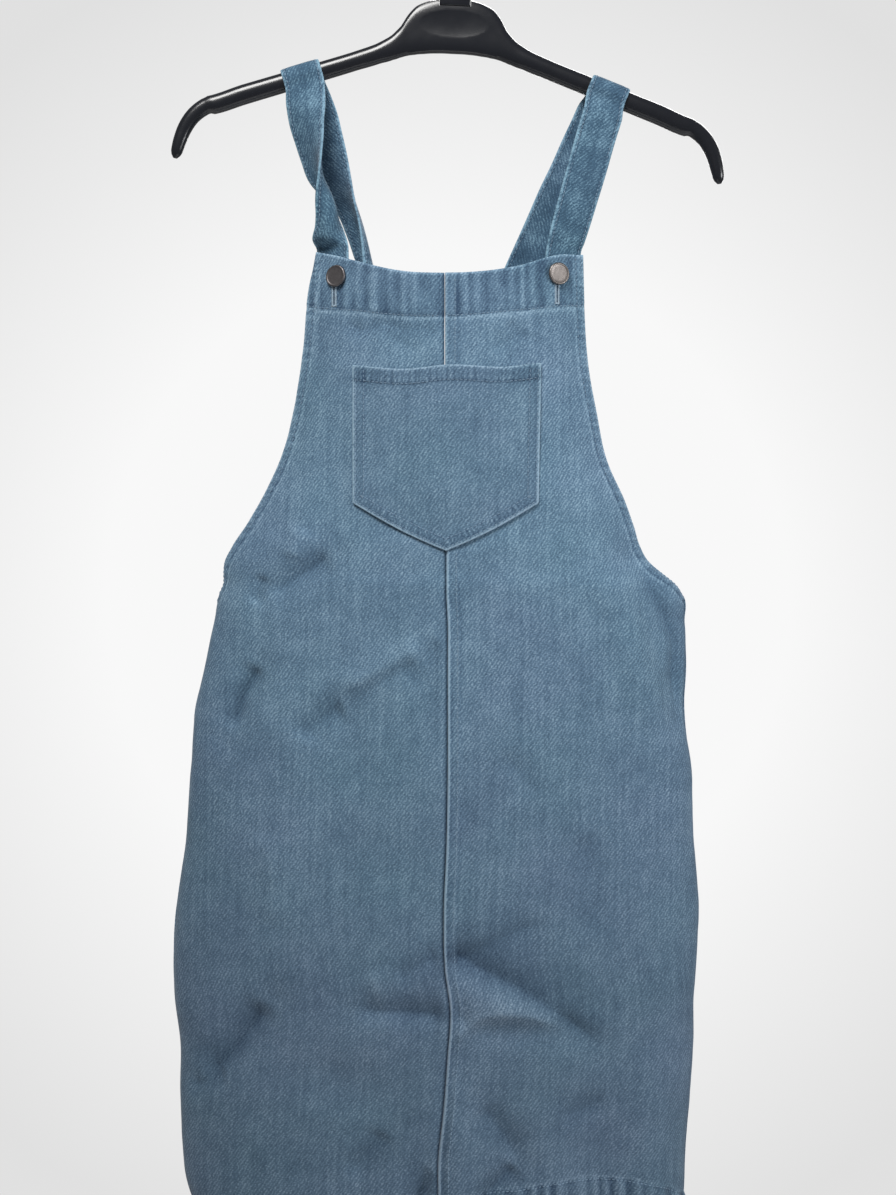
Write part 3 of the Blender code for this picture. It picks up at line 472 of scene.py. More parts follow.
DENIM_DEEP = (0.032, 0.07, 0.128)
DENIM_MIDDLE = (0.106, 0.192, 0.284)
DENIM_PALE = (0.29, 0.43, 0.555)
DENIM_GREYED = (0.71, 0.665, 0.675)
DENIM_WARMER = (1.1, 0.98, 1.03)
DENIM_GREENER = (0.92, 1.03, 0.96)
WRONG_SIDE_DEEP = (0.2, 0.29, 0.4)
WRONG_SIDE_MIDDLE = (0.32, 0.41, 0.51)
WRONG_SIDE_PALE = (0.55, 0.62, 0.69)


def along(pairs, at):
    """A curve given as pairs of distance and height, read at the distances asked for."""
    knots, values = np.array(pairs, float).T
    return through(at, knots, values)


def step_up(value, start, end):
    """0 before start, 1 after end, and a soft step between."""
    t = np.clip((value - start) / (end - start), 0, 1)
    return t * t * (3 - 2 * t)


def near(distance, reach):
    """1 on a line and falling to 0 away from it."""
    return np.exp(-((distance / reach) ** 2))


def gathers(gone, period, seed):
    """The uneven little waves of a stitched turning, from -1 to 1."""
    wander = 1.3 * np.sin(2 * np.pi * gone / (3.7 * period) + seed)
    wander = wander + 0.9 * np.sin(2 * np.pi * gone / (7.3 * period) + 2.1 * seed)
    swell = 0.7 + 0.3 * np.sin(2 * np.pi * gone / (5.1 * period) + 1.7 * seed)
    return swell * np.sin(2 * np.pi * gone / period + wander)


def unevenness(u, v, size, seed):
    """Smooth fixed bumps of the given size, from -1 to 1."""
    lattice = np.random.default_rng(seed).uniform(-1, 1, (64, 64))
    a, b = np.asarray(u) / size, np.asarray(v) / size
    i, j = np.floor(a).astype(int), np.floor(b).astype(int)
    a, b = a - i, b - j
    a, b = a * a * (3 - 2 * a), b * b * (3 - 2 * b)
    i0, i1, j0, j1 = i % 64, (i + 1) % 64, j % 64, (j + 1) % 64
    low = lattice[i0, j0] * (1 - a) + lattice[i1, j0] * a
    high = lattice[i0, j1] * (1 - a) + lattice[i1, j1] * a
    return low * (1 - b) + high * b


def from_line(x, drop, line):
    """How far points are from a line, on which side of its run, and how far along it, from 0 to 1."""
    line = np.asarray(line, float)
    runs = np.hypot(*np.diff(line, axis=0).T)
    gone = np.concatenate([[0], np.cumsum(runs)])
    best = np.full(np.shape(x), 1e9)
    which = np.zeros(np.shape(x))
    share = np.zeros(np.shape(x))
    for k, run in enumerate(runs):
        ahead = (line[k + 1] - line[k]) / run
        far = np.clip((x - line[k, 0]) * ahead[0] + (drop - line[k, 1]) * ahead[1], 0, run)
        off_x = x - line[k, 0] - far * ahead[0]
        off_drop = drop - line[k, 1] - far * ahead[1]
        distance = np.hypot(off_x, off_drop)
        closer = distance < best
        best = np.where(closer, distance, best)
        which = np.where(closer, np.sign(ahead[0] * off_drop - ahead[1] * off_x), which)
        share = np.where(closer, (gone[k] + far) / gone[-1], share)
    return best, which, share


def crease_height(x, drop, creases):
    """How far the finer creases lift the cloth, with sharp lines where the cloth is sharply bent."""
    height = np.zeros(np.broadcast(x, drop).shape)
    for line, lift, left_reach, right_reach, core in creases:
        distance, which, share = from_line(x, drop, evenly(line, 8.0))
        reach = np.where(which > 0, right_reach, left_reach)
        depth = (np.sqrt(distance**2 + core**2) - core) / reach
        taper = step_up(share, -0.02, 0.16) * (1 - step_up(share, 0.75, 1.02))
        height = height + lift * taper * (0.55 * np.exp(-1.6 * depth) + 0.45 * np.exp(-((0.8 * depth) ** 2)))
    return height


class Panel:
    """One side of the dress, front or back, as a smooth surface with folds."""

    def __init__(self, rows, middles, folds, creases, facing):
        y = facing * SIDE_SEAM_DEPTH
        skirt = tuple(
            (drop, left, seam, right, y, seam_y, y, 90, 90)
            for (drop, left, right), (seam, seam_y) in zip(SIDE_SEAMS, middles)
        )
        self.shape = table(SHAPE_COLUMNS, rows + skirt)
        self.folds = folds
        self.creases = creases
        self.facing = facing

    def at(self, name, drop):
        return through(drop, self.shape["drop"], self.shape[name])

    def half(self, side, drop):
        """How wide and how deep this half is, and how far it turns."""
        edge = {-1: "left", 1: "right"}[side]
        width = np.abs(self.at(edge, drop) - self.at("seam", drop))
        depth = np.abs(self.at(edge + "_y", drop) - self.at("seam_y", drop))
        return width, depth, np.radians(self.at(edge + "_turn", drop))

    def angle_across(self, side, x, drop):
        """The angle round the half at which the surface lies this far across."""
        width, _, turn = self.half(side, drop)
        share = np.maximum(side * (x - self.at("seam", drop)) / width, 0)
        return np.arcsin(np.minimum(share * np.sin(turn), 1))

    def round_from_seam(self, side, angle, drop):
        """How much cloth lies between the centre and a point, measured round the surface."""
        width, depth, turn = self.half(side, drop)
        gone = 0.0
        steps = 16
        for k in range(steps):
            at = angle * (k + 0.5) / steps
            across = width * np.cos(at) / np.sin(turn)
            inward = depth * np.sin(at) / (1 - np.cos(turn))
            gone = gone + np.hypot(across, inward) * angle / steps
        return gone

    def fold_height(self, x, drop):
        """How far the large folds and the finer creases lift the cloth here."""
        height = crease_height(x, drop, self.creases)
        for x0, drop0, x1, drop1, lift, spread in self.folds:
            run = np.hypot(x1 - x0, drop1 - drop0)
            ux, uz = (x1 - x0) / run, (drop1 - drop0) / run
            far = (x - x0) * ux + (drop - drop0) * uz
            aside = (x - x0) * -uz + (drop - drop0) * ux
            past = np.maximum(np.maximum(-far, far - run), 0)
            swell = 0.55 + 0.45 * np.sin(np.pi * np.clip(far / run, 0, 1))
            height = height + lift * swell * np.exp(-((aside / spread) ** 2) - (past / spread) ** 2)
        return height

    def point(self, side, angle, drop, out=0.0, folded=True):
        """A point of the surface, moved outwards by a distance, as arrays of x, y and z."""
        width, depth, turn = self.half(side, drop)
        x = self.at("seam", drop) + side * width * np.sin(angle) / np.sin(turn)
        back = depth * (1 - np.cos(angle)) / (1 - np.cos(turn))
        y = self.at("seam_y", drop) - self.facing * back
        across = width * np.cos(angle) / np.sin(turn)
        inward = depth * np.sin(angle) / (1 - np.cos(turn))
        size = np.hypot(across, inward)
        normal_x = side * inward / size
        normal_y = self.facing * across / size
        if folded:
            to_edge = step_up(turn - angle, 0.0, 0.16 * turn)
            to_seam = 1.0 if self.facing > 0 else step_up(angle, 0.0, 0.035 * turn)
            out = out + self.fold_height(x, drop) * to_edge * to_seam
        return np.stack([x + normal_x * out, y + normal_y * out, -drop + 0 * x], axis=-1)

    def pick(self, surface, x, drop):
        """The point of a surface on this panel, on the half where this far across and down lies."""
        x, drop = np.broadcast_arrays(np.asarray(x, float), np.asarray(drop, float))
        left, right = (surface(side, self.angle_across(side, x, drop), drop) for side in (-1, 1))
        return np.where((x < self.at("seam", drop))[..., None], left, right)

    def over(self, x, drop, out=0.0, folded=True):
        """The point of the plain surface this far across and down."""
        return self.pick(lambda side, angle, drop: self.point(side, angle, drop, out, folded), x, drop)


def panel_places(panel, side, shares, drops, top_edge, hem_edge):
    """Angles and drops of a panel's points, its first row on the top edge and its last on the hem."""
    drop = np.repeat(drops[:, None], len(shares), axis=1)
    turn = panel.half(side, drop)[2]
    x = panel.point(side, turn * shares[None, :], drop, folded=False)[..., 0]
    to_top = 1 - step_up(drop, drops[0], drops[0] + 95)
    to_hem = step_up(drop, drops[-1] - 95, drops[-1])
    drop = drop + (along(top_edge, x) - drops[0]) * to_top + (along(hem_edge, x) - drops[-1]) * to_hem
    turn = panel.half(side, drop)[2]
    return turn * shares[None, :], drop


def grid_normals(points, away):
    """Unit directions square to a grid of points, pointing the way that is given."""
    square = unit(np.cross(np.gradient(points, axis=1), np.gradient(points, axis=0)))
    if (square * away).sum(axis=2).mean() < 0:
        square = -square
    return square


def cloth_wall(outer, thick, away, cloth, finish, bulge=0.3, wrong_side=1):
    """A wall of cloth inside a grid of points, with its cut or folded edges rounded."""
    rows, columns = outer.shape[:2]
    inner = outer - grid_normals(outer, away) * np.broadcast_to(thick, (rows, columns))[..., None]
    ids = np.arange(rows * columns).reshape(rows, columns)
    count = rows * columns
    rim = np.concatenate([ids[0, :-1], ids[:-1, -1], ids[-1, :0:-1], ids[:0:-1, 0]])
    next_in = np.concatenate([ids[1, :-1], ids[:-1, -2], ids[-2, :0:-1], ids[:0:-1, 1]])
    flat_outer, flat_inner = outer.reshape(-1, 3), inner.reshape(-1, 3)
    away_from_cloth = unit(flat_outer[rim] - flat_outer[next_in])
    depth = np.linalg.norm(flat_outer[rim] - flat_inner[rim], axis=1, keepdims=True)
    rings = [
        flat_outer[rim] * (1 - share) + flat_inner[rim] * share + away_from_cloth * depth * bulge
        for share in (0.22, 0.78)
    ]
    ring_ids = [rim, 2 * count + np.arange(len(rim)), 2 * count + len(rim) + np.arange(len(rim)), count + rim]
    quads = [grid_quads(ids), grid_quads(ids + count)[:, ::-1]]
    slots = [np.zeros(len(quads[0]), int), np.full(len(quads[1]), wrong_side)]
    for first, second in zip(ring_ids, ring_ids[1:]):
        band = np.stack([first, second, np.roll(second, -1), np.roll(first, -1)], axis=1)
        quads.append(band)
        slots.append(np.zeros(len(band), int))
    spread = np.concatenate([np.arange(count), np.arange(count), rim, rim])
    return part(
        np.concatenate([flat_outer, flat_inner, *rings]),
        np.concatenate(quads),
        np.concatenate(slots),
        np.asarray(cloth).reshape(-1, 2)[spread],
        np.asarray(finish).reshape(-1, 3)[spread],
    )


def denim(name, deep, middle, pale, hand, contrast=1.0, mottling=1.0):
    """Washed twill: slanting ribs, uneven yarns and streaks, mottled dye, pale wear at the edges with painted
    highlight on ridges and crests, painted shade from the mesh, and greying from the mesh.
    """
    made, tree, surface = new_material(name, Specular_IOR_Level=0.25, Sheen_Weight=0.12, Sheen_Roughness=0.5)
    place = node(tree, "ShaderNodeUVMap", uv_map="cloth").outputs["UV"]
    wear_and_shade_layer = node(tree, "ShaderNodeAttribute", attribute_type="GEOMETRY", attribute_name="finish")
    # The mesh's layer: wear with painted highlight, painted shade, and greying.
    marks = node(tree, "ShaderNodeSeparateColor")
    feed(tree, marks.inputs[0], wear_and_shade_layer.outputs["Color"])
    wear_and_highlight, shade, greying = marks.outputs
    slanted = node(tree, "ShaderNodeVectorMath", operation="DOT_PRODUCT")
    feed(tree, slanted.inputs[0], place)
    slanted.inputs[1].default_value = (hand * math.sin(TWILL_SLOPE), -math.cos(TWILL_SLOPE), 0.0)
    wander = noise(tree, place, 170.0, 3.0)
    phase = maths(tree, "MULTIPLY", slanted.outputs["Value"], 2 * math.pi / TWILL_PERIOD)
    ribs = maths(tree, "SINE", maths(tree, "MULTIPLY_ADD", wander, 9.0, phase))
    yarn = noise(tree, place, 1.0, 2.0, (900.0, 330.0, 1.0))
    streaks = noise(tree, place, 1.0, 3.0, (330.0, 14.0, 1.0))
    clouds = noise(tree, place, 24.0, 3.0)
    blotches = noise(tree, place, 85.0, 3.0)
    turned = node(tree, "ShaderNodeMapping")
    feed(tree, turned.inputs["Vector"], place)
    turned.inputs["Rotation"].default_value = (0.0, 0.0, -hand * TWILL_SLOPE)
    turned.inputs["Scale"].default_value = (470.0, 1150.0, 1.0)
    flecks = noise(tree, turned.outputs["Vector"], 1.0, 2.0)
    broken = maths(tree, "MULTIPLY", ribs, maths(tree, "MULTIPLY_ADD", yarn, 0.28, -0.02))
    tone = maths(tree, "MULTIPLY_ADD", broken, contrast, 0.5)
    uneven_by = ((flecks, 1.1), (yarn, 0.65), (streaks, 0.38), (clouds, 0.3), (blotches, 0.3 * mottling))
    for uneven, much in uneven_by:
        centred = maths(tree, "SUBTRACT", uneven, 0.5)
        tone = maths(tree, "MULTIPLY_ADD", centred, much * contrast, tone)
    # Wear lightens the tone: real wear at the edges, and painted highlight on crease ridges and pucker
    # crests.
    rubbed_and_highlighted = maths(tree, "MULTIPLY", wear_and_highlight, maths(tree, "MULTIPLY_ADD", yarn, 1.0, 0.3))
    tone = maths(tree, "MULTIPLY_ADD", rubbed_and_highlighted, 0.6, tone)
    # Painted shade darkens the tone in troughs, grooves, seams and under edges.
    tone = maths(tree, "MULTIPLY_ADD", shade, -0.5, tone, clamp=True)
    ramp = node(tree, "ShaderNodeValToRGB")
    ramp.color_ramp.elements[0].color = (*deep, 1.0)
    ramp.color_ramp.elements[1].color = (*pale, 1.0)
    ramp.color_ramp.elements.new(0.5).color = (*middle, 1.0)
    feed(tree, ramp.inputs["Fac"], tone)
    greyed = blend_colours(tree, 1.0, ramp.outputs["Color"], DENIM_GREYED, "MULTIPLY")
    dyed = blend_colours(tree, greying, ramp.outputs["Color"], greyed)
    patches = noise(tree, place, 9.0, 2.0)
    warmer = blend_colours(tree, 1.0, dyed, DENIM_WARMER, "MULTIPLY")
    greener = blend_colours(tree, 1.0, dyed, DENIM_GREENER, "MULTIPLY")
    feed(tree, surface.inputs["Base Color"], blend_colours(tree, patches, warmer, greener))
    feed(tree, surface.inputs["Roughness"], maths(tree, "MULTIPLY_ADD", yarn, 0.2, 0.72))
    bumped(tree, surface, maths(tree, "MULTIPLY_ADD", ribs, 0.35, yarn), 0.5, 0.0003)
    return made


def greying_towards_hem(drop):
    """How much the cloth is greyed and darkened here: more towards the hem."""
    return step_up(drop, 400, 980)


denim_face = denim("denim_face", DENIM_DEEP, DENIM_MIDDLE, DENIM_PALE, 1.0)
denim_wrong_side = denim("denim_wrong_side", WRONG_SIDE_DEEP, WRONG_SIDE_MIDDLE, WRONG_SIDE_PALE, -1.0, 0.7)
BACK = Panel(BACK_ROWS, BACK_MIDDLES, BACK_FOLDS, BACK_CREASES, 1)


def from_armhole(panel, side, gone, drop, top):
    """How far the cloth is from the armhole's edge, which ends at the underarm."""
    drops = np.linspace(top, UNDERARM_DROP, 48)
    edge = panel.round_from_seam(side, panel.half(side, drops)[2], drops)
    return from_line(gone, drop, np.column_stack([edge, drops]))[0] + FAR_OFF * (drop > UNDERARM_DROP + 8)


def turned_edge(inside, gone, width, period, seed, amount=0.45):
    """The relief of an edge that is turned in and stitched, its wear with painted highlight on the crests,
    and painted shade in its troughs and stitch groove.
    """
    in_band = 1 - step_up(inside, width - 1.0, width + 0.8)
    waves = gathers(gone, period, seed)
    groove = near(inside - width + 1.0, 0.9)
    height = 0.5 * in_band + amount * waves * in_band * step_up(inside, 0.0, width * 0.5) - 0.45 * groove
    # How much painted shade fills the troughs: more on the strongly rippled hem.
    deep = 0.35 + 0.45 * (amount > 1.0)
    # Pale wear at the fold, with painted highlight on the crests and just past the stitching.
    wear_and_highlight = 0.75 * near(inside, 1.3) + 0.3 * np.maximum(waves, 0) * in_band
    wear_and_highlight = wear_and_highlight + 0.35 * near(inside - width - 1.0, 1.4)
    # Painted shade in the stitch groove and the troughs.
    shade = 0.5 * groove + deep * np.maximum(-waves, 0) * in_band
    return height, wear_and_highlight, shade


def with_turned_edges(edges, height, wear_and_highlight, shade):
    """The relief, wear with painted highlight, and painted shade of a panel, with those of its turned edges
    added.
    """
    for inside, gone, width, period, seed, *amount in edges:
        more = turned_edge(inside, gone, width, period, seed, *amount)
        height, wear_and_highlight, shade = height + more[0], wear_and_highlight + more[1], shade + more[2]
    return height, wear_and_highlight, shade


def back_relief(side, angle, drop):
    """The height of the back's own detail, its wear with painted highlight, and its painted shade."""
    x = BACK.point(side, angle, drop, folded=False)[..., 0]
    gone = BACK.round_from_seam(side, angle, drop)
    height = 0.5 * unevenness(side * gone, drop, 34.0, 11) + 0.22 * unevenness(side * gone, drop, 13.0, 12)
    edges = (
        (drop - along(BACK_TOP, x), side * gone, BACK_TOP_TURNING, 10.0, 1.0),
        (from_armhole(BACK, side, gone, drop, 366.0), drop, ARMHOLE_TURNING, 6.0, 2.0 + side),
        (along(BACK_HEM, x) - drop, side * gone, HEM_TURNING, 11.5, 3.0),
    )
    return with_turned_edges(edges, height, np.zeros(np.shape(x)), np.zeros(np.shape(x)))


def back_at(side, angle, drop, above=0.0):
    """A point of the back with all its detail."""
    return BACK.point(side, angle, drop, back_relief(side, angle, drop)[0] + above)


def rows_between(start, end, spacing):
    """Even steps from start to end, about a spacing apart."""
    return np.linspace(start, end, max(2, round((end - start) / spacing) + 1))


back_share = np.linspace(0, 1, 86)
back_drops = rows_between(368, 1000, BACK_SPACING)
back_grids = []
for side, share in ((-1, back_share[::-1]), (1, back_share[1:])):
    angle, drop = panel_places(BACK, side, share, back_drops, BACK_TOP, BACK_HEM)
    height, wear_and_highlight, shade = back_relief(side, angle, drop)
    top_gap, hem_gap = drop - drop[:1], drop[-1:] - drop
    double = np.maximum(1 - step_up(top_gap, 24, 28), 1 - step_up(hem_gap, HEM_TURNING - 1, HEM_TURNING + 2))
    gone = side * BACK.round_from_seam(side, angle, drop)
    back_grids.append((
        BACK.point(side, angle, drop, height),
        CLOTH + (TURNED_CLOTH - CLOTH) * double,
        np.stack([-gone, -drop], axis=-1),
        np.stack([wear_and_highlight, shade, greying_towards_hem(drop)], axis=-1),
    ))
outer, thick, cloth, finish = (np.concatenate(grids, axis=1) for grids in zip(*back_grids))
back_wall = cloth_wall(outer, thick, (0, 1, 0), cloth, finish, 0.1)
back = make_piece("back_panel", [back_wall], [denim_face, denim_wrong_side])
outward(back)
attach(back, "root")
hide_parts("back")

# The front, in two halves of the same denim that run from the bib's top to the hem. Each half is
# one wall of cloth with its top, armhole and hem turned in. The halves join in a felled seam.
FRONT_ROWS = (
    (252, -109, -11, 94, -4.0, -38, -11.0, 38, 30),
    (300, -117, -11, 96, -5.0, -39, -10.5, 40, 32),
    (335, -120, -11, 98, -6.0, -40, -10.0, 43, 36),
    (379, -127, -11, 105, -6.5, -42, -9.5, 49, 42),
    (419, -138, -11, 114, -6.5, -43, -8.5, 56, 50),
    (448, -152, -11, 127, -6.0, -44, -7.0, 64, 60),
    (468, -164, -11, 134, -5.0, -44, -6.0, 71, 67),
    (483, -174, -10, 139, -4.0, -45, -5.0, 77, 73),
    (495, -180, -10, 146, -2.8, -45, -3.8, 82, 78),
    (504, -181, -10, 156, -1.8, -45, -2.5, 86, 84),
    (512, -181, -10, 166, -0.9, -46, -1.2, 89, 88),
)
FRONT_MIDDLES = (
    (-10, -46), (-9, -46), (-9, -47), (-9, -48), (-9, -49), (-10, -50), (-12, -51), (-11, -51),
    (-7, -51), (-9, -51), (-12, -52), (-16, -52), (-16, -52), (-16, -50),
)
BIB_TOP = (
    (-109, 256.5), (-92, 261.5), (-66, 270), (-45, 275.5), (-10, 278), (46, 271), (75, 261.5),
    (94, 260),
)
BIB_STITCH = (
    (-118, 299), (-97, 303), (-77, 305.5), (-62, 308), (-45, 310), (-9, 311), (46, 305.5),
    (58, 304), (72, 301.7), (98, 299.3),
)
FRONT_HEM = (
    (-200, 1001), (-150, 995), (-60, 989), (-16, 987), (60, 985), (110, 983), (150, 990),
    (172, 1000),
)
FRONT_HEM_STITCH = (
    (-200, 986), (-150, 979), (-60, 972), (-16, 970), (38, 966), (72, 961), (105, 960),
    (140, 965), (160, 972), (172, 980),
)
FRONT_FOLDS = (
    (-92, 488, -148, 522, -3.0, 12),
    (-116, 466, -136, 500, 2.0, 13),
    (-150, 575, -180, 628, -3.5, 12),
    (-20, 556, -100, 597, 2.0, 15),
    (-70, 606, -112, 622, -2.5, 16),
    (132, 490, 170, 612, -5.0, 13),
    (118, 520, 156, 640, 3.0, 15),
    (-2, 792, 104, 860, -3.5, 13),
    (2, 815, 96, 842, 3.0, 12),
    (0, 845, 84, 850, -3.0, 12),
    (-76, 833, -8, 835, -2.5, 12),
    (-142, 826, -200, 890, -4.0, 14),
    (-118, 880, -52, 892, -4.0, 22),
    (-52, 918, -88, 975, -3.0, 15),
    (14, 900, 48, 950, -3.0, 15),
    (-20, 945, -36, 1010, -4.0, 13),
    (44, 930, 16, 1010, -4.0, 14),
    (98, 905, 112, 1020, -6.0, 22),
    (146, 880, 152, 1020, 4.0, 18),
    (-4, 900, -2, 1020, 4.0, 15),
)
FRONT_CREASES = (
    (((-90, 312), (-73, 320), (-57, 315), (-39, 321), (-25, 319), (-14, 329)), -1.9, 7, 6, 0.8),
    (((-60, 322), (-44, 330), (-30, 338)), -1.2, 6, 8, 1.0),
    (((36, 314), (44, 322), (34, 331), (22, 334)), -1.5, 7, 7, 0.9),
    (((52, 320), (46, 336), (34, 344)), -1.0, 6, 6, 1.0),
    (((-98, 491), (-132, 513), (-146, 521)), -3.4, 9, 6, 1.0),
    (((-118, 470), (-128, 494)), 2.1, 7, 7, 2.0),
    (((-149, 506), (-157, 528)), -2.9, 5, 5, 1.0),
    (((-152, 574), (-160, 589), (-166, 598), (-169, 610), (-176, 624)), -4.6, 5, 9, 0.7),
    (((-27, 559), (-67, 580), (-94, 594)), 3.4, 12, 7, 1.5),
    (((-30, 570), (-66, 590), (-88, 606)), -2.3, 6, 10, 1.5),
    (((-12, 556), (-28, 574), (-36, 592)), -1.7, 7, 7, 1.5),
    (((-86, 606), (-108, 616), (-118, 632)), -3.2, 8, 10, 1.5),
    (((30, 640), (44, 652), (58, 672)), -1.5, 8, 8, 2.0),
    (((140, 498), (156, 530), (167, 556), (168, 584), (172, 606)), -4.2, 9, 5, 0.8),
    (((-14, 789), (-30, 797), (-48, 809)), -2.7, 7, 8, 1.2),
    (((-78, 831), (-50, 833), (-6, 836), (10, 838)), -4.6, 11, 6, 0.4),
    (((-20, 779), (-3, 790), (21, 804), (44, 816), (71, 832), (92, 847), (112, 862)), -5.6, 17, 7, 0.3),
    (((-16, 799), (0, 793), (27, 780), (46, 771), (70, 766)), -2.8, 7, 13, 0.6),
    (((-14, 858), (0, 848), (12, 838), (27, 834), (46, 834), (64, 839), (84, 849)), 4.8, 14, 6, 0.5),
    (((-145, 829), (-167, 860), (-181, 875), (-198, 887)), -5.0, 8, 12, 0.8),
    (((-178, 882), (-194, 892), (-208, 893)), -2.5, 7, 7, 0.9),
    (((-66, 800), (-56, 830), (-50, 852)), 2.1, 9, 9, 2.5),
    (((-56, 922), (-68, 940), (-83, 957)), -2.9, 7, 9, 1.2),
    (((16, 903), (30, 920), (46, 944)), -2.7, 8, 8, 1.2),
    (((76, 912), (94, 907), (114, 902)), -2.1, 7, 7, 1.2),
    (((-16, 952), (-26, 966), (-36, 982)), -4.2, 6, 8, 0.8),
    (((42, 948), (30, 960), (12, 982)), -4.6, 7, 7, 0.8),
    (((-150, 700), (-140, 730), (-146, 770)), 1.9, 14, 14, 3.0),
    (((90, 700), (104, 740), (98, 780)), -1.7, 14, 14, 3.0),
)
FRONT = Panel(FRONT_ROWS, FRONT_MIDDLES, FRONT_FOLDS, FRONT_CREASES, -1)
FRONT_SPACING = 2.2
HALF_GAP = 0.25
FELL_WIDTH = 9.0
# More columns of points lie close to the centre seam, as shares of a half's turn.
SEAM_COLUMNS = (0.0015, 0.003, 0.0046, 0.0066, 0.0105, 0.0245, 0.0265, 0.0285, 0.0305, 0.033)


def front_relief(side, angle, drop):
    """The height of the front's own detail, its wear with painted highlight, and its darkening: painted
    shade, and a darker band under the top.
    """
    x = FRONT.point(side, angle, drop, folded=False)[..., 0]
    gone = FRONT.round_from_seam(side, angle, drop)
    height = 0.5 * unevenness(side * gone, drop, 36.0, 21) + 0.2 * unevenness(side * gone, drop, 12.0, 22)
    slanting = side * gone + 0.7 * drop
    height = height + 1.5 * unevenness(slanting, drop - 0.4 * side * gone, 74.0, 26) * step_up(drop, 470, 600)
    height = height * step_up(gone, 0.0, 14.0)
    # The creases' ridges get painted highlight and their troughs painted shade.
    hollow = crease_height(x, drop, FRONT_CREASES)
    wear_and_highlight = 0.08 * np.maximum(hollow, 0)
    shade = 0.085 * np.maximum(-hollow, 0)
    hem_band = along(FRONT_HEM, x) - along(FRONT_HEM_STITCH, x)
    edges = (
        (drop - along(BIB_TOP, x), side * gone, along(BIB_STITCH, x) - along(BIB_TOP, x), 11.5, 4.0, 0.2),
        (from_armhole(FRONT, side, gone, drop, 250.0), drop, ARMHOLE_TURNING, 6.5, 5.0 + side, 0.4),
        (along(FRONT_HEM, x) - drop, side * gone, hem_band, 11.5, 7.0, 1.3),
    )
    height, wear_and_highlight, shade = with_turned_edges(edges, height, wear_and_highlight, shade)
    below_stitch = drop - along(BIB_STITCH, x)
    in_band = 1 - step_up(below_stitch, -3.0, 0.0)
    # The band under the bib's top: darkened all over, with painted shade in the pucker troughs and painted
    # highlight on the crests.
    fine = unevenness(side * gone, drop * 0.35, 5.5, 23) + 0.6 * unevenness(side * gone, drop * 0.5, 11.0, 24)
    height = height + 0.25 * fine * in_band
    wear_and_highlight = wear_and_highlight + 0.2 * np.maximum(fine, 0) * in_band
    shade = shade + (0.22 + 0.36 * np.maximum(-fine, 0)) * in_band
    # Puffs below the band, with painted shade in their hollows and painted highlight just below the
    # stitching.
    puffs = unevenness(side * gone, drop * 0.6, 9.0, 25) * near(below_stitch - 7.0, 6.0)
    height = height + 0.35 * puffs
    shade = shade + 0.22 * np.maximum(-puffs, 0)
    wear_and_highlight = wear_and_highlight + 0.16 * near(below_stitch - 1.5, 2.0)
    # The felled seam: a pale ridge of wear with painted highlight, and painted shade in its groove and
    # ripples; on the left half, painted shadow in the seam's fold.
    if side > 0:
        raised = 0.7 * step_up(gone, 0.0, 1.2) * (1 - step_up(gone, FELL_WIDTH - 0.7, FELL_WIDTH + 1.2))
        groove = near(gone - FELL_WIDTH - 0.4, 0.8) * (1 - 0.8 * step_up(drop, 560, 640))
        ripple = gathers(drop, 9.0, 8.0) * near(gone - FELL_WIDTH / 2, FELL_WIDTH / 2)
        height = height + raised + 0.5 * near(gone - 1.3, 1.0) - 0.25 * groove + 0.12 * ripple
        rubbed_and_highlighted = 0.7 + 0.9 * step_up(drop, 470, 500)
        wear_and_highlight = wear_and_highlight + rubbed_and_highlighted * near(gone - 0.9, 0.9) + 0.12 * near(gone - FELL_WIDTH + 1.0, 1.0)
        shade = shade + 0.35 * groove + 0.25 * near(gone - 3.0, 1.2) + 0.1 * np.maximum(-ripple, 0)
    else:
        height = height - 0.8 * near(gone, 2.2)
        shade = shade + 0.7 * near(gone, 1.2)
    return height, wear_and_highlight, shade


def front_at(side, angle, drop, above=0.0):
    """A point of the front with all its detail."""
    return FRONT.point(side, angle, drop, front_relief(side, angle, drop)[0] + above)


def front_over(x, drop, above=0.0):
    """A point of the front with all its detail, this far across and down."""
    return FRONT.pick(lambda side, angle, drop: front_at(side, angle, drop, above), x, drop)


front_share = np.unique(np.concatenate([np.linspace(0, 1, 120), SEAM_COLUMNS]))
front_drops = rows_between(252, 1000, FRONT_SPACING)
fronts = {}
for side, name in ((-1, "front_left"), (1, "front_right")):
    angle, drop = panel_places(FRONT, side, front_share, front_drops, BIB_TOP, FRONT_HEM)
    height, wear_and_highlight, shade = front_relief(side, angle, drop)
    gone = FRONT.round_from_seam(side, angle, drop)
    outer = FRONT.point(side, angle, drop, height)
    outer[..., 0] += side * HALF_GAP * (1 - front_share)[None, :] ** 8
    in_bib_turning = step_up(along(BIB_STITCH, outer[..., 0]) - drop, -2, 2)
    in_hem_turning = 1 - step_up(drop[-1:] - drop, HEM_TURNING - 1, HEM_TURNING + 2)
    thick = CLOTH + (TURNED_CLOTH - CLOTH) * np.maximum(in_bib_turning, in_hem_turning)
    cloth = np.stack([side * gone, -drop], axis=-1)
    finish = np.stack([wear_and_highlight, shade, greying_towards_hem(drop)], axis=-1)
    front_wall = cloth_wall(outer, thick, (0, -1, 0), cloth, finish, 0.1)
    fronts[side] = make_piece(name + "_panel", [front_wall], [denim_face, denim_wrong_side])
    outward(fronts[side])
    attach(fronts[side], "root")
    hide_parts(name)

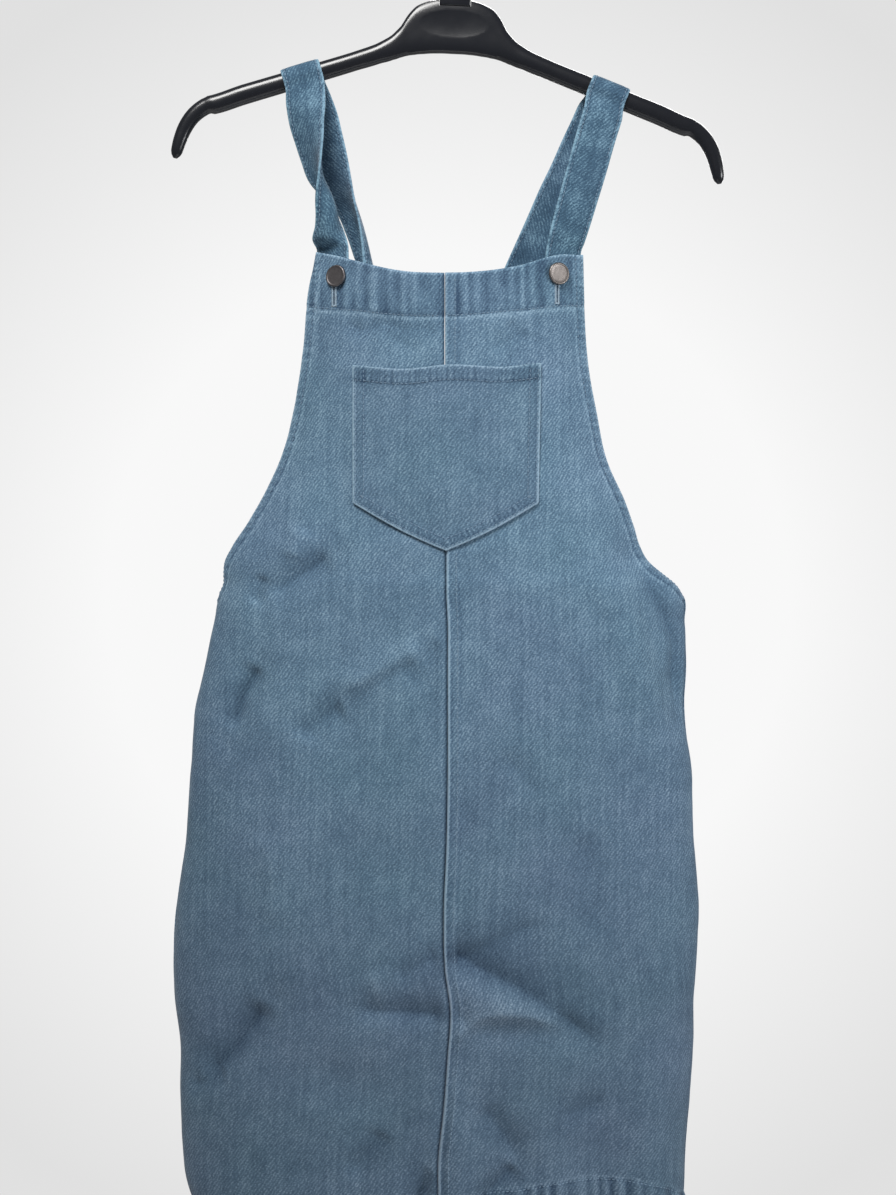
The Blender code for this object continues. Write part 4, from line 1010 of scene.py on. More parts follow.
# The chest pocket. A pointed patch of the same denim, turned in all round, sewn on over the centre
# seam by its sides and its point. Its top edge is hemmed and stands a little open.
POCKET_TOP = ((-79.5, 347), (-40, 351), (-9, 348), (35, 349), (61, 345))
POCKET_LEFT = -79.5
POCKET_RIGHT_TOP = 61.0
POCKET_RIGHT_LOW = 59.0
POCKET_POINT = (-10.0, 487.0)
POCKET_SHOULDER_DROP = 451.0
POCKET_HEM = 11.5
POCKET_STITCH_INSIDE = 1.9
POCKET_SECOND_STITCH = 8.0
POCKET_EDGE_LENGTH = 420.0
POCKET_GAP = 0.5
POCKET_CLOTH_OFFSET = 300.0


def pocket_place(across, down):
    """Where on the bib a point of the pocket lies, as x and drop."""
    point_x, point_drop = POCKET_POINT
    low_x = np.where(
        across < 0.5,
        POCKET_LEFT + (point_x - POCKET_LEFT) * across * 2,
        point_x + (POCKET_RIGHT_LOW - point_x) * (across * 2 - 1),
    )
    low_drop = point_drop - (point_drop - POCKET_SHOULDER_DROP) * np.abs(across * 2 - 1)
    sag = 2.2 * np.sin(np.pi * np.abs(across * 2 - 1)) * down**4
    top_x = POCKET_LEFT + (POCKET_RIGHT_TOP - POCKET_LEFT) * across
    top_drop = along(POCKET_TOP, top_x)
    return top_x + (low_x - top_x) * down, top_drop + (low_drop - top_drop) * down + sag


pocket_sides = np.array([pocket_place(np.array(0.0), np.array(b)) for b in np.linspace(0, 1, 12)])
pocket_low = np.array([pocket_place(np.array(a), np.array(1.0)) for a in np.linspace(0, 1, 41)])
pocket_right = np.array([pocket_place(np.array(1.0), np.array(b)) for b in np.linspace(1, 0, 12)])
POCKET_OUTLINE = np.concatenate([pocket_sides, pocket_low[1:], pocket_right[1:]])


def pocket_relief(x, drop):
    """The height of the pocket above the bib, its wear with painted highlight, and its painted shade."""
    inside, _, share = from_line(x, drop, POCKET_OUTLINE)
    run = share * POCKET_EDGE_LENGTH
    from_top = drop - along(POCKET_TOP, x)
    turned = 1 - step_up(inside, 7.0, 9.5)
    height = 0.6 * turned + 0.55 * step_up(inside, 0.0, 26.0)
    height = height + 0.3 * unevenness(x, drop, 24.0, 31) + 0.12 * unevenness(x, drop, 9.0, 32)
    low_edge = step_up(drop, POCKET_SHOULDER_DROP - 4, POCKET_SHOULDER_DROP + 3)
    waves = gathers(run, 4.4, 3.0)
    band = turned * (0.3 + 0.7 * low_edge) * step_up(inside, 1.0, 3.5)
    height = height + 0.34 * waves * band
    blobs = np.maximum(waves, 0) * near(inside - 5.6, 1.9) * low_edge
    # Pale wear at the rims, with painted highlight on the pucker crests beside the stitching.
    wear_and_highlight = 1.25 * near(inside, 1.2) + 0.9 * blobs
    # Painted shade in the pucker troughs and along the dip between the stitch rows.
    shade = 0.3 * np.maximum(-waves, 0) * band + 0.3 * near(inside - 4.6, 3.2) * (0.35 + 0.65 * low_edge)
    # Each stitch groove dips, with painted shade in it.
    for groove_at, deep in ((POCKET_STITCH_INSIDE, 0.4), (POCKET_SECOND_STITCH, 0.5)):
        groove = near(inside - groove_at, 0.8)
        height = height - 0.25 * deep * groove
        shade = shade + deep * 0.7 * groove
    hem_waves = gathers(x, 4.1, 6.0)
    in_hem = 1 - step_up(from_top, POCKET_HEM - 1.0, POCKET_HEM + 0.6)
    hem_groove = near(from_top - POCKET_HEM + 0.8, 0.8)
    height = height + 0.5 * in_hem + 0.4 * hem_waves * in_hem * step_up(from_top, 0, 4) - 0.3 * hem_groove
    height = height + 0.9 * near(from_top, 14.0) * step_up(inside, 0.0, 22.0)
    # Pale wear at the hem's top edge, with painted highlight on its crests.
    wear_and_highlight = wear_and_highlight + 0.85 * near(from_top, 1.0) + 0.75 * np.maximum(hem_waves, 0) * near(from_top - 8.6, 1.8)
    corners = near(x - POCKET_LEFT - 9.0, 9.0) + near(x - POCKET_RIGHT_TOP + 12.0, 12.0)
    # Painted shade in the hem's groove and troughs, and under the hem, deeper at the corners.
    shade = shade + 0.5 * hem_groove + 0.45 * np.maximum(-hem_waves, 0) * in_hem
    shade = shade + (0.12 + 0.35 * corners) * near(from_top - 8.0, 6.5)
    return height, wear_and_highlight, shade


def pocket_at(x, drop, above=0.0):
    """A point of the pocket's outer side, laid over the bib."""
    return FRONT.over(x, drop, POCKET_GAP + CLOTH + pocket_relief(x, drop)[0] + above)


pocket_x, pocket_drop = pocket_place(np.linspace(0, 1, 111)[None, :], np.linspace(0, 1, 101)[:, None])
cloth = np.stack([pocket_x + POCKET_CLOTH_OFFSET, -pocket_drop], axis=-1)
# The pocket is greyed a little more than the cloth around it.
finish = np.stack([*pocket_relief(pocket_x, pocket_drop)[1:], 0.25 + greying_towards_hem(pocket_drop)], axis=-1)
pocket_wall = cloth_wall(pocket_at(pocket_x, pocket_drop), CLOTH, (0, -1, 0), cloth, finish, 0.35)
pocket = make_piece("chest_pocket_patch", [pocket_wall], [denim_face, denim_wrong_side])
outward(pocket)
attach(pocket, "root")
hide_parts("chest_pocket")

# The straps. Each is a tube of denim sewn flat and topstitched along both edges. It is buttoned
# behind the bib, goes over the hanger's arm and down to the back. The left one is twisted.
STRAP_WIDTH = 30.0
STRAP_CLOTH = 2.2
LAYER_GAP = 0.35
STRAP_ROW_COLUMNS = 5
STRAP_COLUMNS = 23
STRAP_SPACING = 1.7
STRAP_CLOTH_OFFSET = 600.0
STRAP_DEEP = (0.015, 0.042, 0.08)
STRAP_MIDDLE = (0.048, 0.106, 0.172)
STRAP_PALE = (0.2, 0.34, 0.45)
LEFT_STRAP_FRONT = (
    (246, -99.8, -9.6, 184, 7.0),
    (237, -100.6, -9.8, 158, 9.2),
    (228, -102.9, -10.0, 134, 9.6),
    (219, -106.0, -10.2, 111, 9.0),
    (210, -108.6, -10.2, 90, 7.6),
    (201, -111.2, -10.2, 72, 6.0),
    (184, -113.4, -10.0, 54, 3.4),
    (170, -115.0, -9.8, 40, 1.7),
    (157, -116.9, -9.5, 26, 0.7),
    (145, -117.6, -9.2, 9, 0.2),
)
LEFT_STRAP_BACK = (
    (140, -113.0, 9.0, 2, 0.0),
    (152, -108.5, 9.6, 8, 0.0),
    (165, -105.0, 10.2, 15, -0.3),
    (185, -99.5, 11.0, 25, -1.0),
    (204, -94.0, 12.0, 38, -3.0),
    (216, -89.0, 12.5, 53, -5.0),
    (238, -82.0, 13.0, 63, -7.0),
    (260, -77.0, 13.5, 75, -8.0),
    (283, -72.0, 13.5, 98, -8.0),
    (303, -68.5, 12.5, 128, -6.0),
    (322, -65.0, 10.5, 156, -3.5),
    (341, -62.0, 9.0, 174, -1.0),
    (356, -59.5, 9.0, 180, 0.0),
)
RIGHT_STRAP_FRONT = (
    (246, 82.9, -14.2, -24, 0.0),
    (232, 87.0, -13.4, -19, 0.0),
    (218, 91.0, -12.7, -15, 0.0),
    (203, 95.4, -12.0, -11, 0.0),
    (189, 99.4, -11.3, -8, 0.0),
    (176, 103.0, -10.6, -6, 0.0),
    (163, 106.8, -10.0, -4, 0.0),
    (152, 110.2, -9.5, -2, 0.0),
)
RIGHT_STRAP_BACK = (
    (146, 107.0, 9.0, 0, 0.0),
    (158, 101.5, 9.5, 0, 0.0),
    (172, 94.8, 10.0, 0, 0.0),
    (191, 86.4, 10.4, 0, 0.0),
    (212, 76.3, 10.8, 0, 0.0),
    (231, 68.0, 11.0, 0, 0.0),
    (249, 60.0, 11.0, 0, 0.0),
    (270, 50.5, 10.8, 0, 0.0),
    (295, 39.5, 10.4, 0, 0.0),
    (320, 28.5, 9.8, 0, 0.0),
    (342, 18.5, 9.4, 0, 0.0),
    (356, 12.5, 9.2, 0, 0.0),
)
LEFT_STRAP_BIB_ROWS = ((294, -98.3), (286, -98.4), (277.5, -98.5), (269, -98.7), (261, -98.9), (254.5, -99.1))
RIGHT_STRAP_BIB_ROWS = ((292, 79.5), (284, 79.9), (276, 80.2), (268, 80.7), (257, 81.6))
STRAP_BACK_DROPS = (368, 380, 392)
STRAP_STITCH_INSIDE = 2.6
denim_strap = denim("denim_strap", STRAP_DEEP, STRAP_MIDDLE, STRAP_PALE, 1.0, 0.9, 2.4)


def panel_normal(panel, x, drop):
    """The outward direction square to a panel here, its folds left out."""
    across = panel.over(x + 1, drop, 0.0, False) - panel.over(x - 1, drop, 0.0, False)
    down = panel.over(x, drop + 1, 0.0, False) - panel.over(x, drop - 1, 0.0, False)
    return unit(np.cross(down, across) * -panel.facing)


def ribbon_row(centre, path, turn, cup):
    """Points across a strap: its middle, the way it runs, its turn and how far it is cupped."""
    turn = math.radians(turn)
    path = unit(path)
    width = np.array([math.cos(turn), -math.sin(turn), 0.0])
    width = unit(width - width.dot(path) * path)
    out = np.cross(width, path)
    chord = math.sqrt(STRAP_WIDTH**2 - 5.6 * cup**2)
    places = np.linspace(-1, 1, STRAP_ROW_COLUMNS)[:, None]
    return centre + width * places * chord / 2 - out * cup * (1 - places**2)


def free_stretch(rows):
    """The rows of a stretch that hangs free."""
    centres = np.array([(x, y, -drop) for drop, x, y, _, _ in rows], float)
    paths = np.gradient(centres, axis=0)
    return [ribbon_row(c, p, row[3], row[4]) for c, p, row in zip(centres, paths, rows)]


def arm_stretch(x):
    """The rows that wrap over the hanger's arm, from its front over its top to its back."""
    side = 1 if x > 0 else -1
    places = np.array([swung(side * a, b) for a, b in zip(half_hanger["x"], half_hanger["drop"])])
    order = np.argsort(places[:, 0])
    drop, half_height, half_depth = (
        np.interp(x, places[order, 0], values[order])
        for values in (places[:, 1], half_hanger["half_height"], half_hanger["half_depth"])
    )
    lean = side * math.radians(19.5) + HANGER_TILT
    along_arm = np.array([math.cos(lean), 0.0, -math.sin(lean)])
    above = np.array([math.sin(lean), 0.0, math.cos(lean)])
    clear = 0.7 + STRAP_CLOTH / 2
    rows = []
    for angle in np.radians(np.linspace(-25, 205, 12)):
        centre = np.array([x, -(half_depth + clear) * math.cos(angle), -drop])
        centre = centre + above * (half_height + clear) * math.sin(angle)
        rows.append(centre + along_arm * np.linspace(-1, 1, STRAP_ROW_COLUMNS)[:, None] * STRAP_WIDTH / 2)
    return rows


def bib_stretch(rows, turned):
    """The rows that lie behind the bib."""
    places = np.linspace(-1, 1, STRAP_ROW_COLUMNS) * turned
    depth = TURNED_CLOTH + LAYER_GAP + STRAP_CLOTH / 2
    found = []
    for drop, x in rows:
        reach = STRAP_WIDTH / 2 * abs(panel_normal(FRONT, x, drop)[1])
        found.append(FRONT.over(x + places * reach, drop, -depth, False))
    return found


def back_stretch(place, turned):
    """The rows sewn inside the back's top edge."""
    x, slope = place
    places = np.linspace(-1, 1, STRAP_ROW_COLUMNS) * turned
    depth = TURNED_CLOTH + LAYER_GAP + STRAP_CLOTH / 2
    return [
        BACK.over(x + slope * (drop - STRAP_BACK_DROPS[0]) + places * STRAP_WIDTH / 2, drop, -depth, False)
        for drop in STRAP_BACK_DROPS
    ]


def smooth_grid(rows, spacing, columns):
    """A fine smooth grid through the rows, with how far along the strap each of its rows is."""
    rows = np.array(rows)
    gone = gone_along(rows[:, rows.shape[1] // 2])
    places = rows_between(0, gone[-1], spacing)
    fine = np.stack([through(places, gone, rows[:, c, k]) for c in range(rows.shape[1]) for k in range(3)])
    fine = fine.reshape(rows.shape[1], 3, len(places)).transpose(2, 0, 1)
    knots = np.linspace(0, 1, rows.shape[1])
    across = np.linspace(0, 1, columns)
    grid = np.stack([through(across, knots, fine[:, :, k].T) for k in range(3)], axis=-1)
    return grid.transpose(1, 0, 2), places


strap_surfaces = {}
for name, rows, seed in (
    (
        "strap_left",
        bib_stretch(LEFT_STRAP_BIB_ROWS, -1)
        + free_stretch(LEFT_STRAP_FRONT)
        + arm_stretch(-120.5)
        + free_stretch(LEFT_STRAP_BACK)
        + back_stretch((-57.5, 0.0), -1),
        41,
    ),
    (
        "strap_right",
        bib_stretch(RIGHT_STRAP_BIB_ROWS, 1)
        + free_stretch(RIGHT_STRAP_FRONT)
        + arm_stretch(114.5)
        + free_stretch(RIGHT_STRAP_BACK)
        + back_stretch((7.5, -0.3), 1),
        42,
    ),
):
    middle, gone = smooth_grid(rows, STRAP_SPACING, STRAP_COLUMNS)
    across = np.linspace(-1, 1, STRAP_COLUMNS)[None, :] * STRAP_WIDTH / 2
    run = np.repeat(gone[:, None], STRAP_COLUMNS, axis=1)
    normals = grid_normals(middle, (0, -1, 0))
    inside = STRAP_WIDTH / 2 - np.abs(across)
    groove = near(inside - STRAP_STITCH_INSIDE, 0.9)
    waves = gathers(run + 40 * np.sign(across), 7.0, seed) * near(inside - 1.5, 2.5)
    puffed = 0.25 * step_up(inside, STRAP_STITCH_INSIDE, 8.0) - 0.25 * groove
    half = STRAP_CLOTH / 2 + puffed * 0.6 + 0.1 * waves - 0.35 * near(inside, 1.0)
    wobble = 0.25 * unevenness(across, run, 26.0, seed)
    outer = middle + normals * (half + wobble)[..., None]
    # Pale wear at the edges, with painted highlight on the crests and uneven fading.
    wear_and_highlight = 0.85 * near(inside, 1.3) + 0.25 * np.maximum(waves, 0)
    wear_and_highlight = wear_and_highlight + 0.25 * unevenness(across, run, 15.0, seed + 2)
    # Painted shade in the stitch grooves and the troughs of the waves.
    shade = 0.35 * groove + 0.2 * np.maximum(-waves, 0)
    strap_surfaces[name] = (middle, normals, half + wobble)
    cloth = np.stack([across + STRAP_CLOTH_OFFSET + 0 * run, run + seed * 37.0], axis=-1)
    finish = np.stack([wear_and_highlight, shade, 0 * run], axis=-1)
    strap_wall = cloth_wall(outer, 2 * half, normals.mean(axis=(0, 1)), cloth, finish, 0.3, 0)
    strap = make_piece(name + "_webbing", [strap_wall], [denim_strap])
    outward(strap)
    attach(strap, "root")
    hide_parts(name)

# The two tack buttons. Each has a flat cap of darkened metal with a rolled rim, a neck through the
# buttonhole and the strap, and a small round tack behind.
LEFT_BUTTON = (-93.0, 277.5)
RIGHT_BUTTON = (75.0, 276.0)
BUTTON_STEPS = 72
BUTTON_CENTRE_RADIUS = 0.02
# The cap, the neck and the tack from front to back: radius, and height above the bib.
BUTTON_OUTLINE = (
    (0.0, 3.25), (2.5, 3.27), (5.0, 3.3), (6.4, 3.3), (6.85, 3.38), (7.2, 3.58), (7.7, 3.6),
    (8.15, 3.35), (8.42, 2.95), (8.5, 2.4), (8.45, 1.8), (8.2, 1.2), (7.7, 0.9), (3.4, 0.85),
    (3.4, -5.2), (5.5, -5.25), (5.55, -5.9), (5.1, -6.3), (4.2, -6.4), (0.0, -6.4),
)
# The caps are one metal: the left is a shaded copy painted darker, the right a lit copy painted lighter.
BUTTON_METALS_SHADED_AND_LIT = {"button_left": (0.135, 0.125, 0.128), "button_right": (0.19, 0.17, 0.16)}


def darkened_metal(name, colour):
    """Oxidised metal with a fine spun grain and small marks from wear and washing."""
    made, tree, surface = new_material(name, Metallic=0.85)
    place = node(tree, "ShaderNodeTexCoord").outputs["Object"]
    grain = noise(tree, place, 2400.0, 2.0, (1.0, 1.0, 0.25))
    spots = noise(tree, place, 420.0, 4.0, roughness=0.65)
    bright = tuple(c * 1.5 for c in colour)
    dull = tuple(c * 0.55 for c in colour)
    feed(tree, surface.inputs["Base Color"], blend_colours(tree, spots, bright, dull))
    feed(tree, surface.inputs["Roughness"], maths(tree, "MULTIPLY_ADD", grain, 0.22, 0.3))
    bumped(tree, surface, grain, 0.2, 0.00008)
    return made


for name, (x, drop) in (("button_left", LEFT_BUTTON), ("button_right", RIGHT_BUTTON)):
    seat = FRONT.over(x, drop, 0.0, False)
    normal = panel_normal(FRONT, x, drop)
    level = unit(np.cross(normal, (0.0, 0.0, 1.0)))
    upright = np.cross(level, normal)
    turn = np.linspace(0, 2 * np.pi, BUTTON_STEPS, endpoint=False)
    ring = np.cos(turn)[:, None] * level + np.sin(turn)[:, None] * upright
    outline = np.array(BUTTON_OUTLINE)
    outline[[0, -1], 0] = BUTTON_CENTRE_RADIUS
    rings = seat + outline[:, 0, None, None] * ring[None] + outline[:, 1, None, None] * normal
    metal = darkened_metal(name + "_metal", BUTTON_METALS_SHADED_AND_LIT[name])
    button = make_piece(name + "_cap", [closed_rings(rings)], [metal])
    outward(button)
    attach(button, "root")
    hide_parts(name)

# The stitching of the front. The seam and the turned edges are topstitched by machine in thread of
# nearly the same blue, in stitches of about three millimetres that dip into the cloth at both ends.
STITCH_LENGTH = 2.5
STITCH_PITCH = 3.3
THREAD_RADIUS = 0.27
THREAD_COLOUR = (0.19, 0.29, 0.4)
LINE_SPACING = 1.5
BIB_STITCH_ENDS = ((-116, -12.5), (-9.5, 95))
HEM_STITCH_ENDS = (-190, 166)
FELL_STITCH_ENDS = ((282, 346), (488, 980))
FELL_STITCH_INSIDE = 1.2
ARMHOLE_STITCHES_INSIDE = (2.0, 6.7)


def sewing_thread(name, colour):
    """Spun thread: matt, with a fine twist across it and a little fluff."""
    made, tree, surface = new_material(name, Sheen_Weight=0.2)
    place = node(tree, "ShaderNodeTexCoord").outputs["Object"]
    twist = noise(tree, place, 1.0, 2.0, (2600.0, 2600.0, 2600.0))
    faded = noise(tree, place, 120.0, 2.0)
    pale = tuple(min(1.0, c * 1.35) for c in colour)
    dark = tuple(c * 0.65 for c in colour)
    tone = blend_colours(tree, faded, dark, pale)
    twisted = blend_colours(tree, maths(tree, "MULTIPLY", twist, 0.5), tone, dark)
    feed(tree, surface.inputs["Base Color"], twisted)
    feed(tree, surface.inputs["Roughness"], maths(tree, "MULTIPLY_ADD", twist, 0.2, 0.65))
    return made


def threads(starts, ends, ups):
    """Short threads between pairs of points, each of them dipping into the cloth at both ends."""
    starts, ends, ups = (np.asarray(v, float)[:, None] for v in (starts, ends, ups))
    ups = unit(ups)
    share = np.array([0.0, 0.18, 0.5, 0.82, 1.0])[None, :, None]
    rise = np.array([-0.3, 0.05, 0.2, 0.05, -0.3])[None, :, None]
    place = starts + (ends - starts) * share + ups * rise
    ahead = unit(np.gradient(place, axis=1))
    side = unit(np.cross(ahead, ups))
    up = np.cross(side, ahead)
    turn = np.linspace(0, 2 * np.pi, 6, endpoint=False)[None, None, :, None]
    radius = THREAD_RADIUS * np.array([0.6, 1.0, 1.08, 1.0, 0.6])[None, :, None, None]
    ring = np.cos(turn) * side[:, :, None] + np.sin(turn) * up[:, :, None]
    rings = place[:, :, None] + ring * radius
    one = np.arange(30).reshape(5, 6)
    faces = np.concatenate([
        grid_quads(np.column_stack([one, one[:, :1]])),
        [one[0, [3, 2, 1, 0]], one[0, [0, 5, 4, 3]], one[4, [0, 1, 2, 3]], one[4, [3, 4, 5, 0]]],
    ])
    quads = (np.arange(len(place)) * 30)[:, None, None] + faces[None]
    return part(rings, quads.reshape(-1, 4))


def stitches(lines):
    """Stitches along lines of points, each line given with its outward directions."""
    starts, ends, ups = [], [], []
    for points, normals in lines:
        gone = gone_along(points)
        at = np.arange(0.6, gone[-1] - STITCH_LENGTH - 0.3, STITCH_PITCH)
        for found, places, values in (
            (starts, at, points),
            (ends, at + STITCH_LENGTH, points),
            (ups, at + STITCH_LENGTH / 2, normals),
        ):
            found.append(np.stack([np.interp(places, gone, values[:, k]) for k in range(3)], axis=-1))
    return threads(*(np.concatenate(found) for found in (starts, ends, ups)))


def turned_to(normals, facing):
    """The directions, each turned over if need be to point to the front (-1) or to the back (1)."""
    sign = np.sign(normals[:, 1:2] * facing)
    return normals * np.where(sign == 0, 1, sign)


def sewn(surface, x, drop, facing=-1):
    """A line of points on a surface and its outward directions there."""
    across = surface(x + 0.4, drop) - surface(x - 0.4, drop)
    down = surface(x, drop + 0.4) - surface(x, drop - 0.4)
    return surface(x, drop), turned_to(unit(np.cross(across, down)), facing)


thread = sewing_thread("denim_thread", THREAD_COLOUR)


def panel_hole_stitch(panel, surface, side, top, inside):
    """A stitch line at an even distance inside an armhole's edge."""
    drops = rows_between(top, UNDERARM_DROP + 2, 2.0)
    edge = panel.half(side, drops)[2]
    gone = panel.round_from_seam(side, edge, drops)
    slope = np.hypot(1.0, np.gradient(gone, drops))
    angle = edge * (1 - inside * slope / gone)
    points = surface(side, angle, drops)
    nearer = surface(side, angle - 0.01, drops)
    lower = surface(side, angle, drops + 0.5)
    return points, turned_to(unit(np.cross(points - nearer, lower - points)), panel.facing)


front_lines = []
for start, end in BIB_STITCH_ENDS:
    xs = np.arange(start, end, LINE_SPACING)
    front_lines.append(sewn(front_over, xs, along(BIB_STITCH, xs) - 1.0))
xs = np.arange(*HEM_STITCH_ENDS, LINE_SPACING)
front_lines.append(sewn(front_over, xs, along(FRONT_HEM_STITCH, xs) + 1.0))
for start, end in FELL_STITCH_ENDS:
    drops = np.arange(start, end, LINE_SPACING)
    front_lines.append(sewn(front_over, FRONT.at("seam", drops) + FELL_WIDTH - FELL_STITCH_INSIDE, drops))
for side in (-1, 1):
    for inside in ARMHOLE_STITCHES_INSIDE:
        front_lines.append(panel_hole_stitch(FRONT, front_at, side, 262, inside))
front_stitches = make_piece("front_stitching", [stitches(front_lines)], [thread])
outward(front_stitches)
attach(front_stitches, "root")

# The buttonholes. Each is an upright slit under its button, edged on both sides with short threads laid side
# by side, and closed at its foot by a bar of thread. The opening of each slit is a thin dark strip over the
# front, painted shade standing in for the shadow in it.
BUTTONHOLE_THREAD_COLOUR = (0.34, 0.45, 0.55)
BUTTONHOLE_STEP = 0.55
buttonhole_threads = []
slit_shadow_strips = []
for (x, drop), lean in ((LEFT_BUTTON, -2.2), (RIGHT_BUTTON, -0.6)):
    drops = np.arange(drop + 4.0, drop + 22.0, BUTTONHOLE_STEP)
    for side in (-1, 1):
        inner, outer_end = (x + lean + side * far + 0 * drops for far in (0.4, 1.9))
        ups = np.broadcast_to(panel_normal(FRONT, x, drop), (len(drops), 3))
        buttonhole_threads.append(
            threads(front_over(inner, drops, 0.25), front_over(outer_end, drops, 0.15), ups)
        )
    foot = np.array([drop + 22.2, drop + 22.8])
    ups = np.broadcast_to(panel_normal(FRONT, x, drop), (2, 3))
    ends = [front_over(x + lean + far + 0 * foot, foot, 0.3) for far in (-2.1, 2.1)]
    buttonhole_threads.append(threads(*ends, ups))
    slit_x = x + lean + np.array([-0.35, 0.0, 0.35])[None, :]
    slit = front_over(slit_x, drops[:, None], 0.12)
    # Full painted shade, so the strip reads as the shadow in the slit.
    dark = np.zeros((*slit.shape[:2], 3))
    dark[..., 1] = 1.0
    slit_shadow_strips.append(cloth_wall(slit, 0.5, (0, -1, 0), slit[..., [0, 2]], dark, 0.1, 0))
pale_thread = sewing_thread("buttonhole_thread", BUTTONHOLE_THREAD_COLOUR)
buttonholes = make_piece("buttonhole_threads", buttonhole_threads, [pale_thread])
slit_shadows = make_piece("buttonhole_slit_shadows", slit_shadow_strips, [denim_strap])
for piece in (buttonholes, slit_shadows):
    outward(piece)
    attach(piece, "root")

# The stitching of the back, the pocket and the straps, in the same thread. The back's top edge and
# the pocket's sides have two lines each, and each strap has one along both edges, front and back.
BACK_TOP_STITCHES = (BACK_TOP_TURNING - 1.0, 2.0)
POCKET_MIDDLE = np.array([-10.0, 400.0])


def back_over(x, drop, above=0.0):
    """A point of the back with all its detail, this far across and down."""
    return BACK.pick(lambda side, angle, drop: back_at(side, angle, drop, above), x, drop)


back_lines = []
xs = np.arange(-78, 27, LINE_SPACING)
for below in BACK_TOP_STITCHES:
    back_lines.append(sewn(back_over, xs, along(BACK_TOP, xs) + below, 1))
xs = np.arange(*HEM_STITCH_ENDS, LINE_SPACING)
back_lines.append(sewn(back_over, xs, along(BACK_HEM, xs) - HEM_TURNING + 1.0, 1))
for side in (-1, 1):
    for inside in ARMHOLE_STITCHES_INSIDE:
        back_lines.append(panel_hole_stitch(BACK, back_at, side, 372, inside))
back_stitches = make_piece("back_stitching", [stitches(back_lines)], [thread])

pocket_lines = []
outline = evenly(POCKET_OUTLINE, LINE_SPACING)
ahead = unit(np.gradient(outline, axis=0))
inward = np.column_stack([ahead[:, 1], -ahead[:, 0]])
inward *= np.sign((inward * (POCKET_MIDDLE - outline)).sum(axis=1, keepdims=True))
for inside in (POCKET_STITCH_INSIDE, POCKET_SECOND_STITCH):
    line = outline + inward * inside
    line = line[line[:, 1] > along(POCKET_TOP, line[:, 0]) + 1.5]
    pocket_lines.append(sewn(pocket_at, line[:, 0], line[:, 1]))
xs = np.arange(POCKET_LEFT + 1.5, POCKET_RIGHT_TOP - 1.5, LINE_SPACING)
pocket_lines.append(sewn(pocket_at, xs, along(POCKET_TOP, xs) + POCKET_HEM - 0.8))
pocket_stitches = make_piece("pocket_stitching", [stitches(pocket_lines)], [thread])

strap_lines = []
for middle, normals, half in strap_surfaces.values():
    columns = middle.shape[1]
    for across in (STRAP_STITCH_INSIDE / STRAP_WIDTH, 1 - STRAP_STITCH_INSIDE / STRAP_WIDTH):
        place = across * (columns - 1)
        k = int(place)
        share = place - k
        for face in (-1, 1):
            line = middle[:, k] * (1 - share) + middle[:, k + 1] * share
            out = normals[:, k] * face
            lift = (half[:, k] * (1 - share) + half[:, k + 1] * share)[:, None]
            strap_lines.append((line + out * lift, out))
strap_stitches = make_piece("strap_stitching", [stitches(strap_lines)], [thread])
for stitching in (back_stitches, pocket_stitches, strap_stitches):
    outward(stitching)
    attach(stitching, "root")

# The room: a pale floor well below the hem, a pale surround that lights evenly and, where the camera sees it,
# has painted shade that darkens it away from the middle, a large soft lamp high on the left in front and a
# weaker one on the right.
FLOOR_DROP = 1650.0
FLOOR_RADIUS = 1.2
FLOOR_COLOURS = ((0.78, 0.78, 0.79), (0.84, 0.84, 0.85))
SURROUND = (0.885, 0.89, 0.9)
SURROUND_LIGHT = 0.24
# The surround that is seen: its paleness, and from how far out, how fast and how far painted shade dims it
# away from the middle.
SEEN_PALENESS = 0.94
DIMS_FROM = 0.17
DIMS_BY = 1.2
DIMS_AT_MOST = 0.16
LAMPS_AIM = (0.0, 0.0, -0.5)
LAMPS = (
    ("lamp_high_left", (-0.45, -1.25, 1.05), 0.75, 39.0, (1.0, 0.99, 0.97)),
    ("lamp_right", (1.9, -1.0, -0.3), 0.7, 22.0, (0.97, 0.985, 1.0)),
    ("lamp_behind", (0.5, 1.7, 0.6), 1.2, 34.0, (1.0, 1.0, 1.0)),
)
CAMERA_PLACE = (-0.0085, -1.53, -0.5223)
CAMERA_HEIGHT_ANGLE = math.radians(33.55)

floor_mesh = bpy.data.meshes.new("floor")
floor_work = bmesh.new()
bmesh.ops.create_circle(floor_work, cap_ends=True, segments=96, radius=FLOOR_RADIUS)
floor_work.transform(Matrix.Translation((0, 0, -FLOOR_DROP * MM)))
floor_work.to_mesh(floor_mesh)
floor_work.free()
floor = placed("floor", floor_mesh)
floor_paint, tree, surface = new_material("floor_paint", Roughness=0.8)
cloud = noise(tree, node(tree, "ShaderNodeTexCoord").outputs["Object"], 6.0, 3.0)
feed(tree, surface.inputs["Base Color"], blend_colours(tree, cloud, *FLOOR_COLOURS))
floor_mesh.materials.append(floor_paint)

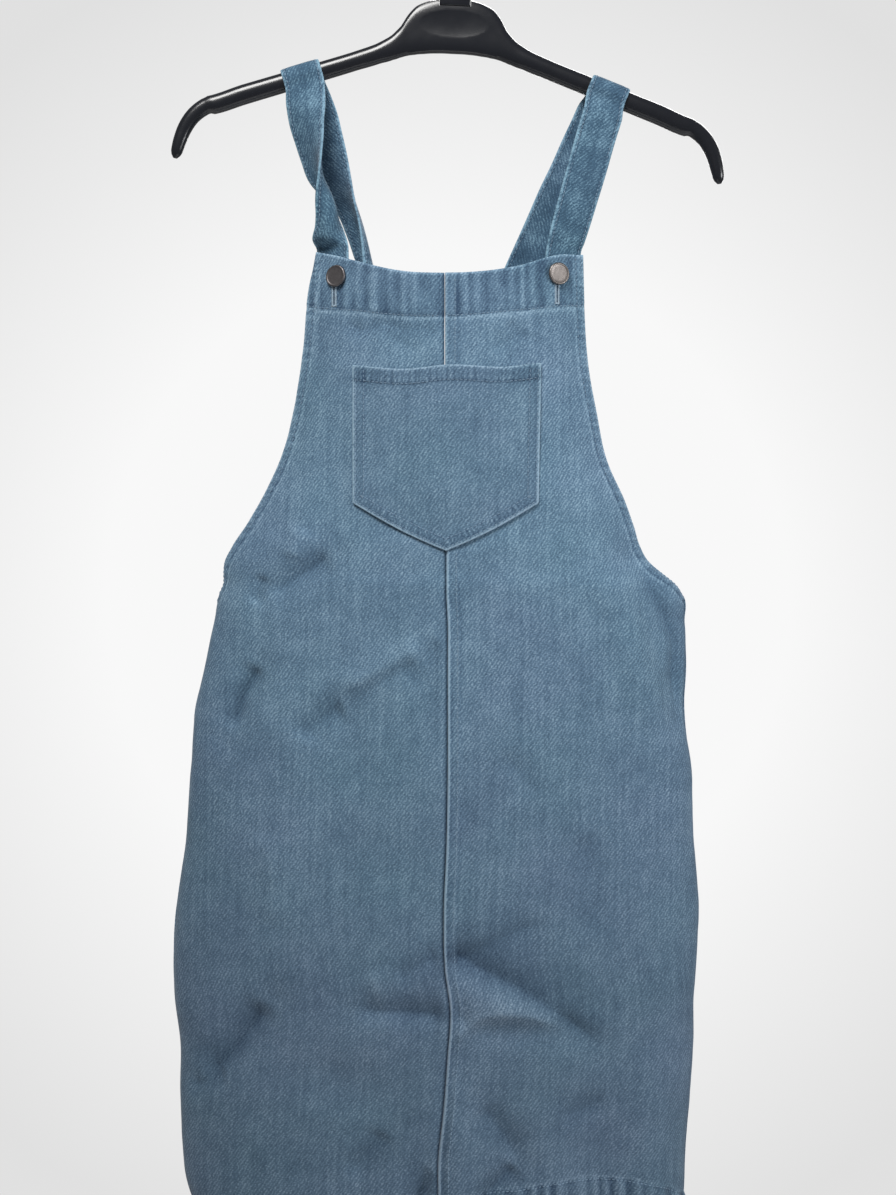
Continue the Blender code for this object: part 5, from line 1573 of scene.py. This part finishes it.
world = bpy.data.worlds.new("surround")
bpy.context.scene.world = world
world.use_nodes = True
tree = world.node_tree
seen = tree.nodes["Background"]
outlook = node(tree, "ShaderNodeTexCoord").outputs["Generated"]
apart = node(tree, "ShaderNodeVectorMath", operation="MULTIPLY")
feed(tree, apart.inputs[0], outlook)
apart.inputs[1].default_value = (1.0, 0.0, 1.0)
far_out = node(tree, "ShaderNodeVectorMath", operation="LENGTH")
feed(tree, far_out.inputs[0], apart.outputs[0])
fading = maths(tree, "SUBTRACT", far_out.outputs["Value"], DIMS_FROM, clamp=True)
faded = maths(tree, "MINIMUM", fading, DIMS_AT_MOST)
paleness = maths(tree, "MULTIPLY_ADD", faded, -DIMS_BY, SEEN_PALENESS)
feed(tree, seen.inputs["Color"], blend_colours(tree, paleness, (0.0, 0.0, 0.0), (1.0, 1.0, 1.0)))
lit = node(tree, "ShaderNodeBackground")
lit.inputs["Color"].default_value = (*SURROUND, 1.0)
lit.inputs["Strength"].default_value = SURROUND_LIGHT
chosen = node(tree, "ShaderNodeMixShader")
rays = node(tree, "ShaderNodeLightPath")
tree.links.new(rays.outputs["Is Camera Ray"], chosen.inputs[0])
tree.links.new(lit.outputs[0], chosen.inputs[1])
tree.links.new(seen.outputs[0], chosen.inputs[2])
tree.links.new(chosen.outputs[0], tree.nodes["World Output"].inputs["Surface"])

for name, place, size, power, tint in LAMPS:
    lamp_data = bpy.data.lights.new(name, "AREA")
    lamp_data.size = size
    lamp_data.energy = power
    lamp_data.color = tint
    lamp = placed(name, lamp_data)
    lamp.location = place
    lamp.rotation_euler = (Vector(LAMPS_AIM) - Vector(place)).to_track_quat("-Z", "Y").to_euler()

camera_data = bpy.data.cameras.new("camera")
camera_data.sensor_fit = "VERTICAL"
camera_data.sensor_height = 24.0
camera_data.lens = camera_data.sensor_height / 2 / math.tan(CAMERA_HEIGHT_ANGLE / 2)
camera_data.clip_start = 0.05
camera = placed("camera", camera_data)
camera.location = CAMERA_PLACE
camera.rotation_euler = (math.pi / 2, 0.0, 0.0)
bpy.context.scene.camera = camera
bpy.context.scene.view_settings.view_transform = "Standard"
